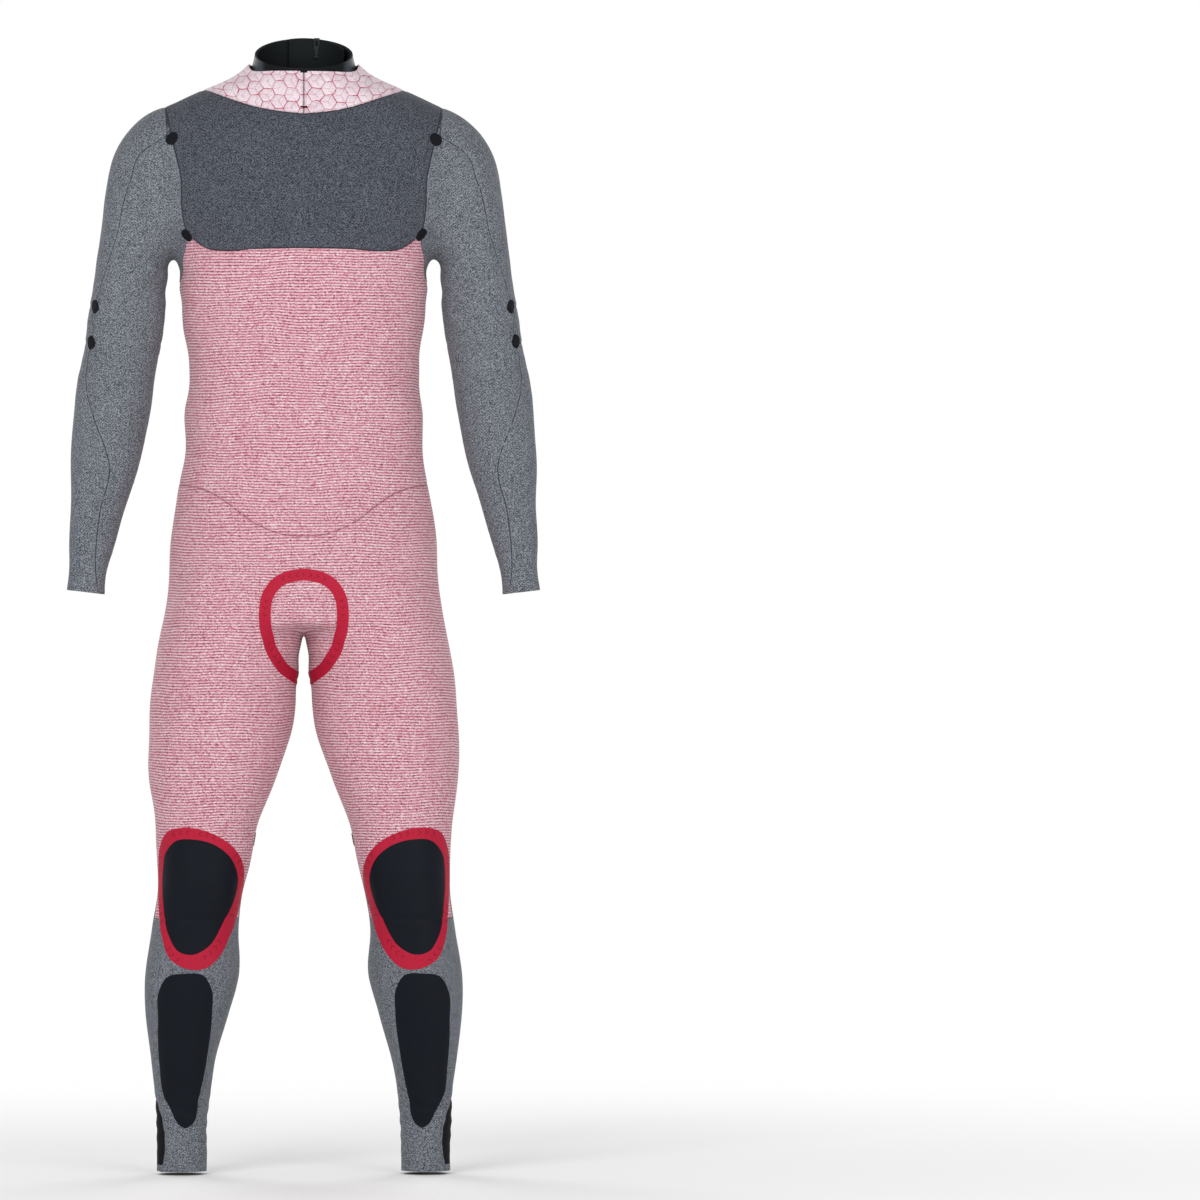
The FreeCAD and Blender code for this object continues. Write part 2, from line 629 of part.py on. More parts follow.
def sketch_on(body, name, plane="XY_Plane"):
    made = body.newObject("Sketcher::SketchObject", name)
    origin = next(f for f in body.Origin.OriginFeatures if f.Role == plane)
    made.AttachmentSupport = [(origin, "")]
    made.MapMode = "FlatFace"
    return made


def bound(sketch, kind, geometry, formula, *points):
    """A dimension in a sketch whose value is a formula of the sheet's cells."""
    index = sketch.addConstraint(Sketcher.Constraint(kind, geometry, *points, 1.0))
    sketch.setExpression(f"Constraints[{index}]", formula)


def circle(sketch, formula, radius):

    index = sketch.addGeometry(Part.Circle(Vector(0, 0, 0), Vector(0, 0, 1), radius))
    sketch.addConstraint(Sketcher.Constraint("Coincident", index, 3, -1, 1))
    bound(sketch, "Radius", index, formula)


def pad(body, name, sketch, formula, symmetric=False):
    made = body.newObject("PartDesign::Pad", name)
    made.Profile = sketch
    if symmetric:
        made.SideType = "Symmetric"
    made.setExpression("Length", formula)
    return made


def cuff(label, radius_alias, length_alias, place):
    """A round cuff that grips the wrist or ankle, along its own +Z."""
    body = new_body(label)
    ring = sketch_on(body, f"{label}_ring")
    outer = f"{SHEET_NAME}.{radius_alias}"
    circle(ring, outer, size(radius_alias))
    circle(ring, f"{outer} - {SHEET_NAME}.cuff_wall", size(radius_alias) - size("cuff_wall"))
    pad(body, f"{label}_pad", ring, f"{SHEET_NAME}.{length_alias}")
    body.Placement = place
    return body


wrist_in = Vector(SLEEVE_END[0][0], size("sleeve_wrist_shift"), SLEEVE_END[0][1])
wrist_out = Vector(SLEEVE_END[1][0], size("sleeve_wrist_shift"), SLEEVE_END[1][1])
across_wrist = (wrist_out - wrist_in).normalize()
wrist_axis = Vector(-across_wrist.z, 0, across_wrist.x) * -1
wrist_middle = (wrist_in + wrist_out) * 0.5
for side, name in ((1, "left"), (-1, "right")):
    axis = Vector(side * wrist_axis.x, 0, wrist_axis.z)
    start = Vector(side * wrist_middle.x, wrist_middle.y, wrist_middle.z)
    place = Placement(start, Rotation(Vector(0, 0, 1), axis))
    cuff(f"{name}_wrist_cuff", "wrist_radius", "wrist_cuff_long", place)
    middle = (size("leg_hem_innerx") + size("leg_hem_outerx")) / 2
    place = Placement(Vector(side * middle, size("leg_hem_shift"), 0), Rotation())
    cuff(f"{name}_ankle_cuff", "ankle_radius", "ankle_cuff_long", place)

# ---------------------------------------------------------------- zip
# The zip follows an arc down the inside of the back panel. Along it, local +X runs to the wearer's
# left, local +Y out of the back and local +Z up the zip.
M = SHEET_NAME
ZIP_TOP = Vector(size("zip_top_reach"), size("zip_top_shift"), size("zip_top_tall"))
ZIP_TURN = Rotation(Vector(0, 1, 0), size("zip_tilt")) * Rotation(Vector(1, 0, 0), size("zip_lean"))
ZIP_CENTRE = ZIP_TOP - ZIP_TURN.multVec(Vector(0, size("zip_bend_radius"), 0))
TOP_PLACE = Placement(ZIP_TOP, ZIP_TURN)
ARC_TURN = ZIP_TURN * Rotation(Vector(1, 0, 0), -size("zip_sweep"))
ARC_PLACE = Placement(ZIP_CENTRE, ARC_TURN)
FOOT_PLACE = Placement(ZIP_CENTRE + ARC_TURN.multVec(Vector(0, size("zip_bend_radius"), 0)), ARC_TURN)


def rectangle(sketch, x0, x1, y0, y1, *formulas):
    """A rectangle with its left, right, lower and upper distances from the sketch's origin bound.
    Each formula gives the signed place of one side."""
    corners = [Vector(x0, y0, 0), Vector(x1, y0, 0), Vector(x1, y1, 0), Vector(x0, y1, 0)]
    first = None
    for a, b in zip(corners, corners[1:] + corners[:1]):
        index = sketch.addGeometry(Part.LineSegment(a, b))
        first = index if first is None else first
    for i in range(4):
        sketch.addConstraint(Sketcher.Constraint("Coincident", first + i, 2, first + (i + 1) % 4, 1))
    for i in (0, 2):
        sketch.addConstraint(Sketcher.Constraint("Horizontal", first + i))
        sketch.addConstraint(Sketcher.Constraint("Vertical", first + i + 1))
    for kind, line, formula in zip(
        ("DistanceX", "DistanceX", "DistanceY", "DistanceY"), (3, 1, 0, 2), formulas
    ):
        index = sketch.addConstraint(Sketcher.Constraint(kind, -1, 1, first + line, 1, 1.0))
        sketch.setExpression(f"Constraints[{index}]", formula)


def arc_rectangle(body, name, x0, x1, y0, y1):
    """A rectangle in the zip's cross-section, measured from the middle of the tapes."""
    face = sketch_on(body, name)
    bend = size("zip_bend_radius")
    radius = f"{M}.zip_bend_radius"
    rectangle(face, x0, x1, bend + y0, bend + y1, str(x0), str(x1), f"{radius} + {y0}",
              f"{radius} + {y1}")
    return face


def swept(body, name, face):
    """A sketch swept along the whole arc of the zip."""
    made = body.newObject("PartDesign::Revolution", name)
    made.Profile = face
    made.ReferenceAxis = (face, ["H_Axis"])
    made.setExpression("Angle", f"{M}.zip_sweep")
    doc.recompute()
    if made.Shape.BoundBox.ZMax < 10:
        made.Reversed = True
        doc.recompute()
    return made


def zip_coil(label, side):
    """One row of teeth on its core and web. The two rows interlock across the zip's middle."""
    body = new_body(label)
    under = -size("zip_tape_thick") / 2
    roof = under - 1.1 - size("coil_thick")
    spans = ((2.0, 4.0, roof, under - 1.1), (1.3, 2.4, under - 1.3, under))
    for number, (near, far, low, high) in enumerate(spans):
        x0, x1 = (near, far) if side > 0 else (-far, -near)
        face = arc_rectangle(body, f"{label}_strip_{number}", x0, x1, low, high)
        swept(body, f"{label}_run_{number}", face)
    tip, root = (-1.2, 2.1) if side > 0 else (-2.1, 1.2)
    tooth = arc_rectangle(body, f"{label}_tooth_face", tip, root, roof, under - 1.1)
    start = 1 if side > 0 else 1 + size("coil_pitch") / 2
    tooth.AttachmentOffset = Placement(Vector(0, 0, start), Rotation())
    first = pad(body, f"{label}_tooth", tooth, f"{M}.coil_tooth_tall")
    doc.recompute()
    arc = math.radians(size("zip_sweep")) * size("zip_bend_radius")
    rows = body.newObject("PartDesign::PolarPattern", f"{label}_teeth")
    rows.Originals = [first]
    origin = next(f for f in body.Origin.OriginFeatures if f.Role == "X_Axis")
    rows.Axis = (origin, [""])
    rows.Occurrences = int((arc - 6) / size("coil_pitch"))
    rows.setExpression("Angle", f"{M}.zip_sweep * {(rows.Occurrences - 1) * size('coil_pitch') / arc}")
    body.Tip = rows
    doc.recompute()
    if abs(rows.Shape.BoundBox.ZMax - body.Shape.BoundBox.ZMax) > 1 or rows.Shape.BoundBox.ZMin < -3:
        rows.Reversed = True
    body.Placement = ARC_PLACE


zip_coil("left_zip_teeth", 1)
zip_coil("right_zip_teeth", -1)
strips = []
for side, name in ((1, "left"), (-1, "right")):
    strip = new_body(f"{name}_zip_tape")
    wide, thick = size("zip_tape_wide"), size("zip_tape_thick") / 2
    x0, x1 = (0.3, 0.3 + wide) if side > 0 else (-0.3 - wide, -0.3)
    swept(strip, f"{name}_zip_tape_run",
          arc_rectangle(strip, f"{name}_zip_tape_face", x0, x1, -thick, thick))
    strip.Placement = ARC_PLACE
    strips.append(strip)
tapes = doc.addObject("Part::Compound", "zip_tapes")
tapes.Links = strips
tapes.Label = "zip_tapes"


def zip_stop():
    """The metal box at the lower end of the zip, where the slider comes to rest."""
    body = new_body("zip_bottom_stop")
    face = sketch_on(body, "zip_bottom_stop_face")
    rectangle(face, -5, 5, -4, 1.5, "-5", "5", "-4", "1.5")
    pad(body, "zip_bottom_stop_pad", face, "7")
    body.Placement = FOOT_PLACE * Placement(Vector(0, 0, -7.2), Rotation())


def zip_slider():
    """The slider: a block whose two lips run under the coils, with ears and a bridge."""
    body = new_body("zip_slider")
    wide = size("slider_wide") / 2
    face = sketch_on(body, "zip_slider_face")
    rectangle(face, -wide, wide, -6, -0.8, f"-{M}.slider_wide / 2", f"{M}.slider_wide / 2", "-6", "-0.8")
    pad(body, "zip_slider_pad", face, f"{M}.slider_long", symmetric=True)
    doc.recompute()
    for name, half, low, high in (("channel", 4.3, -3.5, -1.3), ("throat", 2.7, -1.5, -0.5)):
        hollow = sketch_on(body, f"zip_slider_{name}_face")
        rectangle(hollow, -half, half, low, high, str(-half), str(half), str(low), str(high))
        pocket = body.newObject("PartDesign::Pocket", f"zip_slider_{name}")
        pocket.Profile = hollow
        pocket.Type = "ThroughAll"
        pocket.SideType = "Symmetric"
        doc.recompute()
    for x, name in ((-3.2, "right"), (3.2, "left")):
        ear = sketch_on(body, f"zip_slider_{name}_ear_face")
        rectangle(ear, x - 1, x + 1, -10, -5.5, str(x - 1), str(x + 1), "-10", "-5.5")
        pad(body, f"zip_slider_{name}_ear", ear, "4.4", symmetric=True)
    pin = sketch_on(body, "zip_slider_bridge_face", "YZ_Plane")
    centred(pin, "bridge_drop", f"{M}.bridge_radius", size("bridge_radius"))
    pad(body, "zip_slider_bridge", pin, "8", symmetric=True)
    body.Placement = TOP_PLACE


def centred(sketch, drop_alias, formula, radius):
    """A circle whose centre lies below the tapes by a distance from the sheet."""
    drop = -size(drop_alias)
    index = sketch.addGeometry(Part.Circle(Vector(drop, 0, 0), Vector(0, 0, 1), radius))
    bound(sketch, "Radius", index, formula)
    place = sketch.addConstraint(Sketcher.Constraint("DistanceX", -1, 1, index, 3, drop))
    sketch.setExpression(f"Constraints[{place}]", f"-{M}.{drop_alias}")
    sketch.addConstraint(Sketcher.Constraint("PointOnObject", index, 3, -1))


def zip_puller():
    """The puller: a flat tab with an eye round the slider's bridge and a window at its end."""
    body = new_body("zip_puller")
    drop = size("bridge_drop")
    face = sketch_on(body, "zip_puller_face", "YZ_Plane")
    centred(face, "bridge_drop", f"{M}.bridge_radius + 1.2", size("bridge_radius") + 1.2)
    pad(body, "zip_puller_eye", face, "3.6", symmetric=True)
    doc.recompute()
    hollow = sketch_on(body, "zip_puller_hole_face", "YZ_Plane")
    half = size("puller_wide") / 2
    reach = size("puller_long")
    for name, x, low, high, formulas in (
        ("neck", 1.8, 1.5, 12, ("-1.8", "1.8", "1.5", "12")),
        ("tab", half, 9.4, 9.4 + reach,
         (f"-{M}.puller_wide / 2", f"{M}.puller_wide / 2", "9.4", f"9.4 + {M}.puller_long")),
    ):
        profile = sketch_on(body, f"zip_puller_{name}_face", "XZ_Plane")
        profile.AttachmentOffset = Placement(Vector(0, 0, drop), Rotation())
        rectangle(profile, -x, x, low, high, *formulas)
        pad(body, f"zip_puller_{name}", profile, f"{M}.puller_thick", symmetric=True)
        doc.recompute()
    centred(hollow, "bridge_drop", f"{M}.bridge_radius + 0.3", size("bridge_radius") + 0.3)
    window = sketch_on(body, "zip_puller_window_face", "XZ_Plane")
    window.AttachmentOffset = Placement(Vector(0, 0, drop), Rotation())
    rectangle(window, -1.8, 1.8, 14, 6.4 + reach, "-1.8", "1.8", "14", f"6.4 + {M}.puller_long")
    for name, profile in (("hole", hollow), ("window", window)):
        pocket = body.newObject("PartDesign::Pocket", f"zip_puller_{name}")
        pocket.Profile = profile
        pocket.Type = "ThroughAll"
        pocket.SideType = "Symmetric"
        doc.recompute()
    body.Placement = TOP_PLACE


zip_stop()
zip_slider()
zip_puller()

# ---------------------------------------------------------------- frame
# The suit hangs from its hanger mount, so the origin of the part is there.
doc.recompute()
grouped = {link.Name for thing in doc.Objects if thing.TypeId == "Part::Compound" for link in thing.Links}
WHOLE = ("Part::Feature", "PartDesign::Body", "Part::Compound")
pieces = [thing for thing in doc.Objects if thing.TypeId in WHOLE and thing.Name not in grouped]
drop = Placement(Vector(0, 0, -size("hanger_tall")), Rotation())
for piece in pieces:
    piece.Placement = drop * piece.Placement

# ---------------------------------------------------------------- check and write
doc.recompute()
for thing in doc.Objects:
    bad = [state for state in thing.State if state in ("Invalid", "Error")]
    if bad:
        raise RuntimeError(f"{thing.Label} is {bad}")
for piece in pieces:
    if piece.Shape.isNull() or not piece.Shape.isValid() or not piece.Shape.Solids:
        raise RuntimeError(f"{piece.Label} has no valid solid")
os.makedirs("parts", exist_ok=True)
for old in os.listdir("parts"):
    os.remove(os.path.join("parts", old))
for piece in pieces:
    piece.Shape.exportStep(f"parts/{piece.Label}.step")
    print(f"{piece.Label}: {len(piece.Shape.Solids)} solids, {piece.Shape.Volume / 1000:.2f} cm3")
print(len(pieces), "sub-parts; zip axis through", drop.multVec(ZIP_CENTRE), "along",
      ZIP_TURN.multVec(Vector(1, 0, 0)))
print("puller pin", drop.multVec(TOP_PLACE.multVec(Vector(0, -size("bridge_drop"), 0))))
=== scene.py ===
import math

import bmesh
import bpy
import numpy as np
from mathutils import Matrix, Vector
from mathutils.kdtree import KDTree


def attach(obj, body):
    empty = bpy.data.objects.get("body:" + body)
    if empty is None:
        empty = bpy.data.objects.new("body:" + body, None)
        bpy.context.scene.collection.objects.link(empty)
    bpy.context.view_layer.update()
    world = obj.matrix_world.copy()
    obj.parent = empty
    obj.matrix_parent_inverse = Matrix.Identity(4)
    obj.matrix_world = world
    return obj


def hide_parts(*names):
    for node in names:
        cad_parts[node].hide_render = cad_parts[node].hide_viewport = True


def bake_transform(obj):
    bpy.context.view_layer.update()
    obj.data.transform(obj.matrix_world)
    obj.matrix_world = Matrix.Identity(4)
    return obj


# A wetsuit turned inside out. The whole skin is one smooth mesh, made from the suit's own body
# stations, cut along its seams into panels. Lengths here are millimetres above the ankle hems
# until a piece is made; the row frame's origin lies 1400 mm higher, at the hanger mount.

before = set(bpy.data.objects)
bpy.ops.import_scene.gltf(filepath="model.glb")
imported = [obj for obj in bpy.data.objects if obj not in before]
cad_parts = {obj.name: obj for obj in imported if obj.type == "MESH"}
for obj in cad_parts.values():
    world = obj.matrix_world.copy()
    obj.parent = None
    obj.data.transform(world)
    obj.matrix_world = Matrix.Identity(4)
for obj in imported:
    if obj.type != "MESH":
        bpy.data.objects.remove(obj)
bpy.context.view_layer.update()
HANGER = 1400.0
WALL = 3.2
VOXEL = 4.6

# ------------------------------------------------------------------ body stations
TORSO = np.array([  # height, half width, half depth, Y
    (690, 180, 112, 8), (745, 172, 117, 10), (800, 169, 112, 9), (865, 159, 102, 6),
    (910, 151, 97, 3), (960, 151, 97, 1), (1015, 145, 97, 0), (1075, 153, 102, -2),
    (1130, 158, 107, -5), (1172, 161, 110, -8), (1200, 181, 111, -9), (1262, 207, 106, -9),
    (1322, 197, 97, -5), (1350, 176, 88, 0), (1372, 127, 79, 3), (1392, 86, 72, 8),
    (1408, 68, 64, 11), (1418, 60, 60, 10),
], float)
SLEEVE = np.array([  # inner X and Z, outer X and Z, half depth, Y
    (150, 1200, 120, 1330, 56, -4), (160, 1172, 176, 1352, 66, -4), (164, 1169, 216, 1329, 64, -4),
    (167, 1164, 239, 1293, 60, -4), (169, 1158, 252, 1240, 57, -4), (172, 1152, 258, 1185, 54, -4),
    (173, 1130, 265, 1136, 52, -4), (175, 1095, 271, 1097, 50, -2), (181, 1048, 278, 1048, 47, 2),
    (188, 1010, 286, 1010, 47, 0), (195, 960, 292, 960, 46, -4), (208, 900, 295, 901, 41, -8),
    (226, 840, 295, 843, 35, -11), (241, 790, 297, 795, 28, -13), (249.5, 758, 297.2, 763.6, 24, -14),
    (252.5, 732, 300.2, 738, 24, -14), (254, 720, 301.7, 726, 24, -14),
], float)
LEG = np.array([  # inner X and Z, outer X and Z, half depth, Y
    (16, 790, 150, 790, 88, 6), (8, 740, 168, 740, 100, 7), (4, 689, 181, 689, 106, 6),
    (8, 622, 192, 622, 98, 4), (15, 560, 196, 560, 90, 0), (35, 500, 196, 500, 80, -3),
    (58, 440, 188.5, 440, 70, -6), (66, 400, 186.5, 400, 65, -8), (78, 350, 186, 350, 61, -8),
    (83.5, 310, 192, 310, 59, -4), (82, 250, 201, 250, 62, 4), (95, 200, 201, 200, 57, 7),
    (112, 140, 193.5, 140, 46, 6), (120, 92, 189, 92, 38, 4), (123.5, 50, 187.1, 50, 33, 3),
    (123.5, 28, 186.5, 28, 31.5, 3), (123.5, 0, 186.5, 0, 31.5, 3), (123.5, -14, 186.5, -14, 31.5, 3),
], float)


def spline(x, xs, ys):
    """A smooth curve through points, with the slopes of a Catmull-Rom spline."""
    xs, ys = np.asarray(xs, float), np.asarray(ys, float)
    slope = np.gradient(ys, xs)
    i = np.clip(np.searchsorted(xs, x) - 1, 0, len(xs) - 2)
    h = xs[i + 1] - xs[i]
    t = np.clip((x - xs[i]) / h, 0, 1)
    return (
        (2 * t**3 - 3 * t**2 + 1) * ys[i] + (t**3 - 2 * t**2 + t) * h * slope[i]
        + (-2 * t**3 + 3 * t**2) * ys[i + 1] + (t**3 - t**2) * h * slope[i + 1]
    )


def smooth(a, b, x):
    t = np.clip((x - a) / (b - a), 0, 1)
    return t * t * (3 - 2 * t)


def tube(rows, around=96, step=6.0, side=1):
    """A closed body tube. rows: two ends (x, z) of each section, its half depth and its Y."""
    ends = np.stack([rows[:, 0:2], rows[:, 2:4]], 1)
    middle = ends.mean(1)
    run = np.concatenate([[0], np.cumsum(np.linalg.norm(np.diff(middle, axis=0), axis=1))])
    fine = np.linspace(0, run[-1], int(run[-1] / step) + 2)
    cols = [spline(fine, run, rows[:, k]) for k in range(6)]
    angle = 2 * np.pi * np.arange(around) / around
    c, s = np.cos(angle), np.sin(angle)
    u = np.sign(c) * np.abs(c) ** (2 / 2.2)
    v = np.sign(s) * np.abs(s) ** (2 / 2.2)
    xa, za, xb, zb, deep, shift = (col[:, None] for col in cols)
    x = (xa + xb) / 2 + (xb - xa) / 2 * u
    z = (za + zb) / 2 + (zb - za) / 2 * u
    y = shift + deep * v
    points = np.stack([x * side, y, z], -1).reshape(-1, 3)
    n = len(fine)
    faces = []
    for i in range(n - 1):
        for j in range(around):
            k = (j + 1) % around
            faces.append((i * around + j, i * around + k, (i + 1) * around + k, (i + 1) * around + j))
    faces.append(tuple(range(around))[::-1])
    faces.append(tuple((n - 1) * around + j for j in range(around)))
    return points, faces


def torso_rows():
    rows = np.zeros((len(TORSO), 6))
    rows[:, 0], rows[:, 1] = -TORSO[:, 1], TORSO[:, 0]
    rows[:, 2], rows[:, 3] = TORSO[:, 1], TORSO[:, 0]
    rows[:, 4], rows[:, 5] = TORSO[:, 2], TORSO[:, 3]
    extra = rows[-1].copy()
    extra[[1, 3]] = 1420
    extra[[0, 2]] = -70, 70
    extra[4] = 62
    return np.vstack([rows, extra])


def make_mesh(name, points, faces):
    mesh = bpy.data.meshes.new(name)
    mesh.from_pydata([tuple(p) for p in points], [], [tuple(f) for f in faces])
    mesh.validate()
    obj = bpy.data.objects.new(name, mesh)
    bpy.context.collection.objects.link(obj)
    return obj


def arrays(mesh):
    co = np.empty(len(mesh.vertices) * 3)
    mesh.vertices.foreach_get("co", co)
    mesh.calc_loop_triangles()
    tri = np.empty(len(mesh.loop_triangles) * 3, np.int32)
    mesh.loop_triangles.foreach_get("vertices", tri)
    return co.reshape(-1, 3), tri.reshape(-1, 3)


def body_skin():
    """The union of torso, sleeves and legs as one even, smooth mesh."""
    points, faces, base = [], [], 0
    parts = [tube(torso_rows())]
    for side in (1, -1):
        parts += [tube(SLEEVE, side=side), tube(LEG, side=side)]
    for number, (p, f) in enumerate(parts):
        flip = number in (1, 2)
        faces += [tuple(base + i for i in (q[::-1] if flip else q)) for q in f]
        points.append(p)
        base += len(p)
    obj = make_mesh("raw_skin", np.vstack(points), faces)
    bm = bmesh.new()
    bm.from_mesh(obj.data)
    bmesh.ops.recalc_face_normals(bm, faces=bm.faces)
    bm.to_mesh(obj.data)
    bm.free()
    remesh = obj.modifiers.new("even", "REMESH")
    remesh.mode = "VOXEL"
    remesh.voxel_size = VOXEL
    remesh.adaptivity = 0
    dg = bpy.context.evaluated_depsgraph_get()
    mesh = bpy.data.meshes.new_from_object(obj.evaluated_get(dg))
    bpy.data.objects.remove(obj)
    co, tri = arrays(mesh)
    edges = np.empty(len(mesh.edges) * 2, np.int32)
    mesh.edges.foreach_get("vertices", edges)
    edges = edges.reshape(-1, 2)
    bpy.data.meshes.remove(mesh)
    count = np.bincount(edges.ravel(), minlength=len(co))[:, None]

    def relax(co, weight, times, pull=0.0):
        for _ in range(times):
            for share in (0.55, -pull):
                if share == 0:
                    continue
                total = np.zeros_like(co)
                np.add.at(total, edges[:, 0], co[edges[:, 1]])
                np.add.at(total, edges[:, 1], co[edges[:, 0]])
                co = co + (total / count - co) * (share * weight)
        return co

    scale = 4.6 / VOXEL
    co = relax(co, np.ones((len(co), 1)), int(14 * scale), 0.57)
    x, y, z = np.abs(co[:, 0]), co[:, 1], co[:, 2]
    pit = np.hypot(x - 168, (z - 1168) * 0.8)
    fork = np.hypot(x * 1.2, z - 690)
    shoulder = np.hypot((x - 190), (z - 1335))
    soft = np.maximum(1 - smooth(20, 75, pit), 1 - smooth(18, 62, fork))
    soft = np.maximum(soft, 0.9 * (1 - smooth(20, 70, shoulder)))
    soft = np.maximum(soft, 0.6 * (1 - smooth(30, 75, np.abs(z - 690))) * (x < 210))
    co = relax(co, soft[:, None], int(34 * scale))
    co = relax(co, np.ones((len(co), 1)), int(6 * scale), 0.57)
    return co, tri


# ------------------------------------------------------------------ cutting along isolines
def split(co, tri, field, where=None):
    """Cuts triangles where field changes sign, so that the line field = 0 runs along edges."""
    f = field(co)
    f = np.where(np.abs(f) < 1e-9, 0.0, f)
    mask = np.ones(len(tri), bool) if where is None else where(co)[tri].any(1)
    e = np.sort(np.concatenate([tri[mask][:, [0, 1]], tri[mask][:, [1, 2]], tri[mask][:, [2, 0]]]), 1)
    e = np.unique(e, axis=0)
    crossing = e[f[e[:, 0]] * f[e[:, 1]] < 0]
    if len(crossing) == 0:
        return co, tri
    t = f[crossing[:, 0]] / (f[crossing[:, 0]] - f[crossing[:, 1]])
    # a vertex that lies near the line is moved onto it, so that no thin triangles appear
    co = co.copy()
    for near, far, share in ((0, 1, t), (1, 0, 1 - t)):
        close = share < 0.22
        v = crossing[close, near]
        order = np.argsort(-share[close])
        v, w, s = v[order], crossing[close, far][order], share[close][order]
        fresh = co[v] + (co[w] - co[v]) * s[:, None]
        keep = f[v] != 0
        co[v[keep]] = fresh[keep]
        f[v[keep]] = 0.0
    crossing = e[f[e[:, 0]] * f[e[:, 1]] < 0]
    t = f[crossing[:, 0]] / (f[crossing[:, 0]] - f[crossing[:, 1]])
    made = co[crossing[:, 0]] + (co[crossing[:, 1]] - co[crossing[:, 0]]) * t[:, None]
    n = len(co)
    index = {(int(a), int(b)): n + i for i, (a, b) in enumerate(crossing)}
    co = np.vstack([co, made])
    s = np.sign(f)
    out = []
    st = s[tri]
    cut = mask & (st.min(1) < 0) & (st.max(1) > 0)
    keep = tri[~cut]
    for a, b, c in tri[cut]:
        for _ in range(3):
            if s[a] == 0 or (s[a] != s[b] and s[a] != s[c] and s[b] != 0 and s[c] != 0):
                break
            a, b, c = b, c, a
        a, b, c = int(a), int(b), int(c)
        if s[a] == 0:
            m = index.get((min(b, c), max(b, c)))
            out += [(a, b, m), (a, m, c)] if m is not None else [(a, b, c)]
            continue
        p = index.get((min(a, b), max(a, b)))
        q = index.get((min(a, c), max(a, c)))
        if p is None or q is None:
            out.append((a, b, c))
            continue
        out += [(a, p, q), (p, b, c), (p, c, q)]
    return co, np.vstack([keep, np.array(out, np.int64).reshape(-1, 3)])


def curve_z(points):
    """z as a smooth function of |x|, through points (x, z)."""
    p = sorted(points)
    return lambda x: spline(np.clip(x, p[0][0], p[-1][0]), [q[0] for q in p], [q[1] for q in p])


def curve_x(points):
    """|x| as a smooth function of z, through points (x, z)."""
    p = sorted(points, key=lambda q: q[1])
    return lambda z: spline(np.clip(z, p[0][1], p[-1][1]), [q[1] for q in p], [q[0] for q in p])


YOKE = curve_z([(0, 1337), (30, 1340.5), (65, 1348), (96, 1358.5), (122, 1369), (134, 1374)])
CHEST_SIDE = curve_x([(176, 1352), (167, 1308), (155, 1252), (154, 1212), (148, 1186), (146, 1176)])
CHEST_FOOT = curve_z([(0, 1167), (60, 1166), (100, 1164), (124, 1168), (138, 1177), (150, 1189), (170, 1204)])
ABDOMEN = curve_z([(0, 805.5), (20, 806.5), (43, 813), (67, 825), (89, 842), (112, 857.5), (135, 867),
                   (160, 871), (200, 872)])
SLEEVE_SEAM = curve_x([(168, 1313), (196, 1297), (220, 1252), (236, 1188), (252, 1140), (264, 1098)])
FOREARM_SEAM = curve_x([(269, 1052), (274, 1025), (275, 990), (265, 953), (251, 917), (245, 892),
                        (248, 870), (255, 847), (261, 806), (263, 765), (259, 728)])
BACK_SPOTS = [(163, 1256), (147, 1240), (139, 1216), (131, 1149), (122.5, 1090), (118.5, 1047),
              (122, 996), (128.5, 945), (139.5, 895), (147.5, 858)]
LUMBAR_SPOTS = [(0, 931), (18, 930), (34, 926), (60, 913), (101, 891)]
CROTCH_SPOTS = [(0, 757), (16, 755), (33, 747), (45, 731), (49, 710), (48, 690), (43, 670), (33, 648),
                (20, 634)]
BACK_TAPE = curve_x([(175, 1268)] + BACK_SPOTS)
LUMBAR = curve_z(LUMBAR_SPOTS + [(146, 875)])
BACK_NECK = curve_x([(119, 1372), (119, 1330), (122, 1308), (131, 1290), (147, 1273), (172, 1260)])
CALF_ARCH = curve_z([(0, 440), (45, 474), (58, 482), (80, 490), (100, 493.5), (142, 493), (165, 487),
                     (180, 479), (196, 468)])
ELBOW_END = curve_x([(184, 1028), (181, 1040), (183, 1062), (191, 1080), (206, 1093), (226, 1099)])
GUSSET_FRONT = curve_x([(148, 1186), (152, 1160), (156, 1130), (162, 1100)])
ELBOW_TOP = curve_z([(150, 1092), (196, 1086), (236, 1094), (262, 1097), (290, 1097)])
ELBOW_FOOT = curve_z([(150, 1034), (196, 1034), (230, 1042), (262, 1050), (290, 1052)])
CROTCH = curve_x(CROTCH_SPOTS + [(7, 624)])


def parts_of(p):
    """Which limb a point belongs to: 0 torso, 1 sleeve, 2 leg."""
    x, z = np.abs(p[:, 0]), p[:, 2]
    hole = 160 + (z - 1172) * 16 / 180
    gap = np.interp(z, [600, 700, 800, 900, 1000, 1172], [230, 220, 206, 182, 167, 166])
    limb = np.where(z > 1172, x > hole, x > gap)
    return np.where(limb, 1, np.where(z < 690, 2, 0))


def middle_y(p):
    """The Y that parts the front of the suit from its back, along the sides."""
    x, z = np.abs(p[:, 0]), p[:, 2]
    part = parts_of(p)
    torso = np.interp(z, [690, 760, 900, 1300, 1360, 1420], [6, 7, 3, 4, 8, 10])
    arm = np.interp(z, [730, 840, 1000, 1350], [-14, -11, 0, 4])
    leg = np.interp(z, LEG[::-1, 1], LEG[::-1, 5])
    return np.select([part == 1, part == 2], [arm, leg], torso)


def axis_x(p):
    return np.abs(p[:, 0])


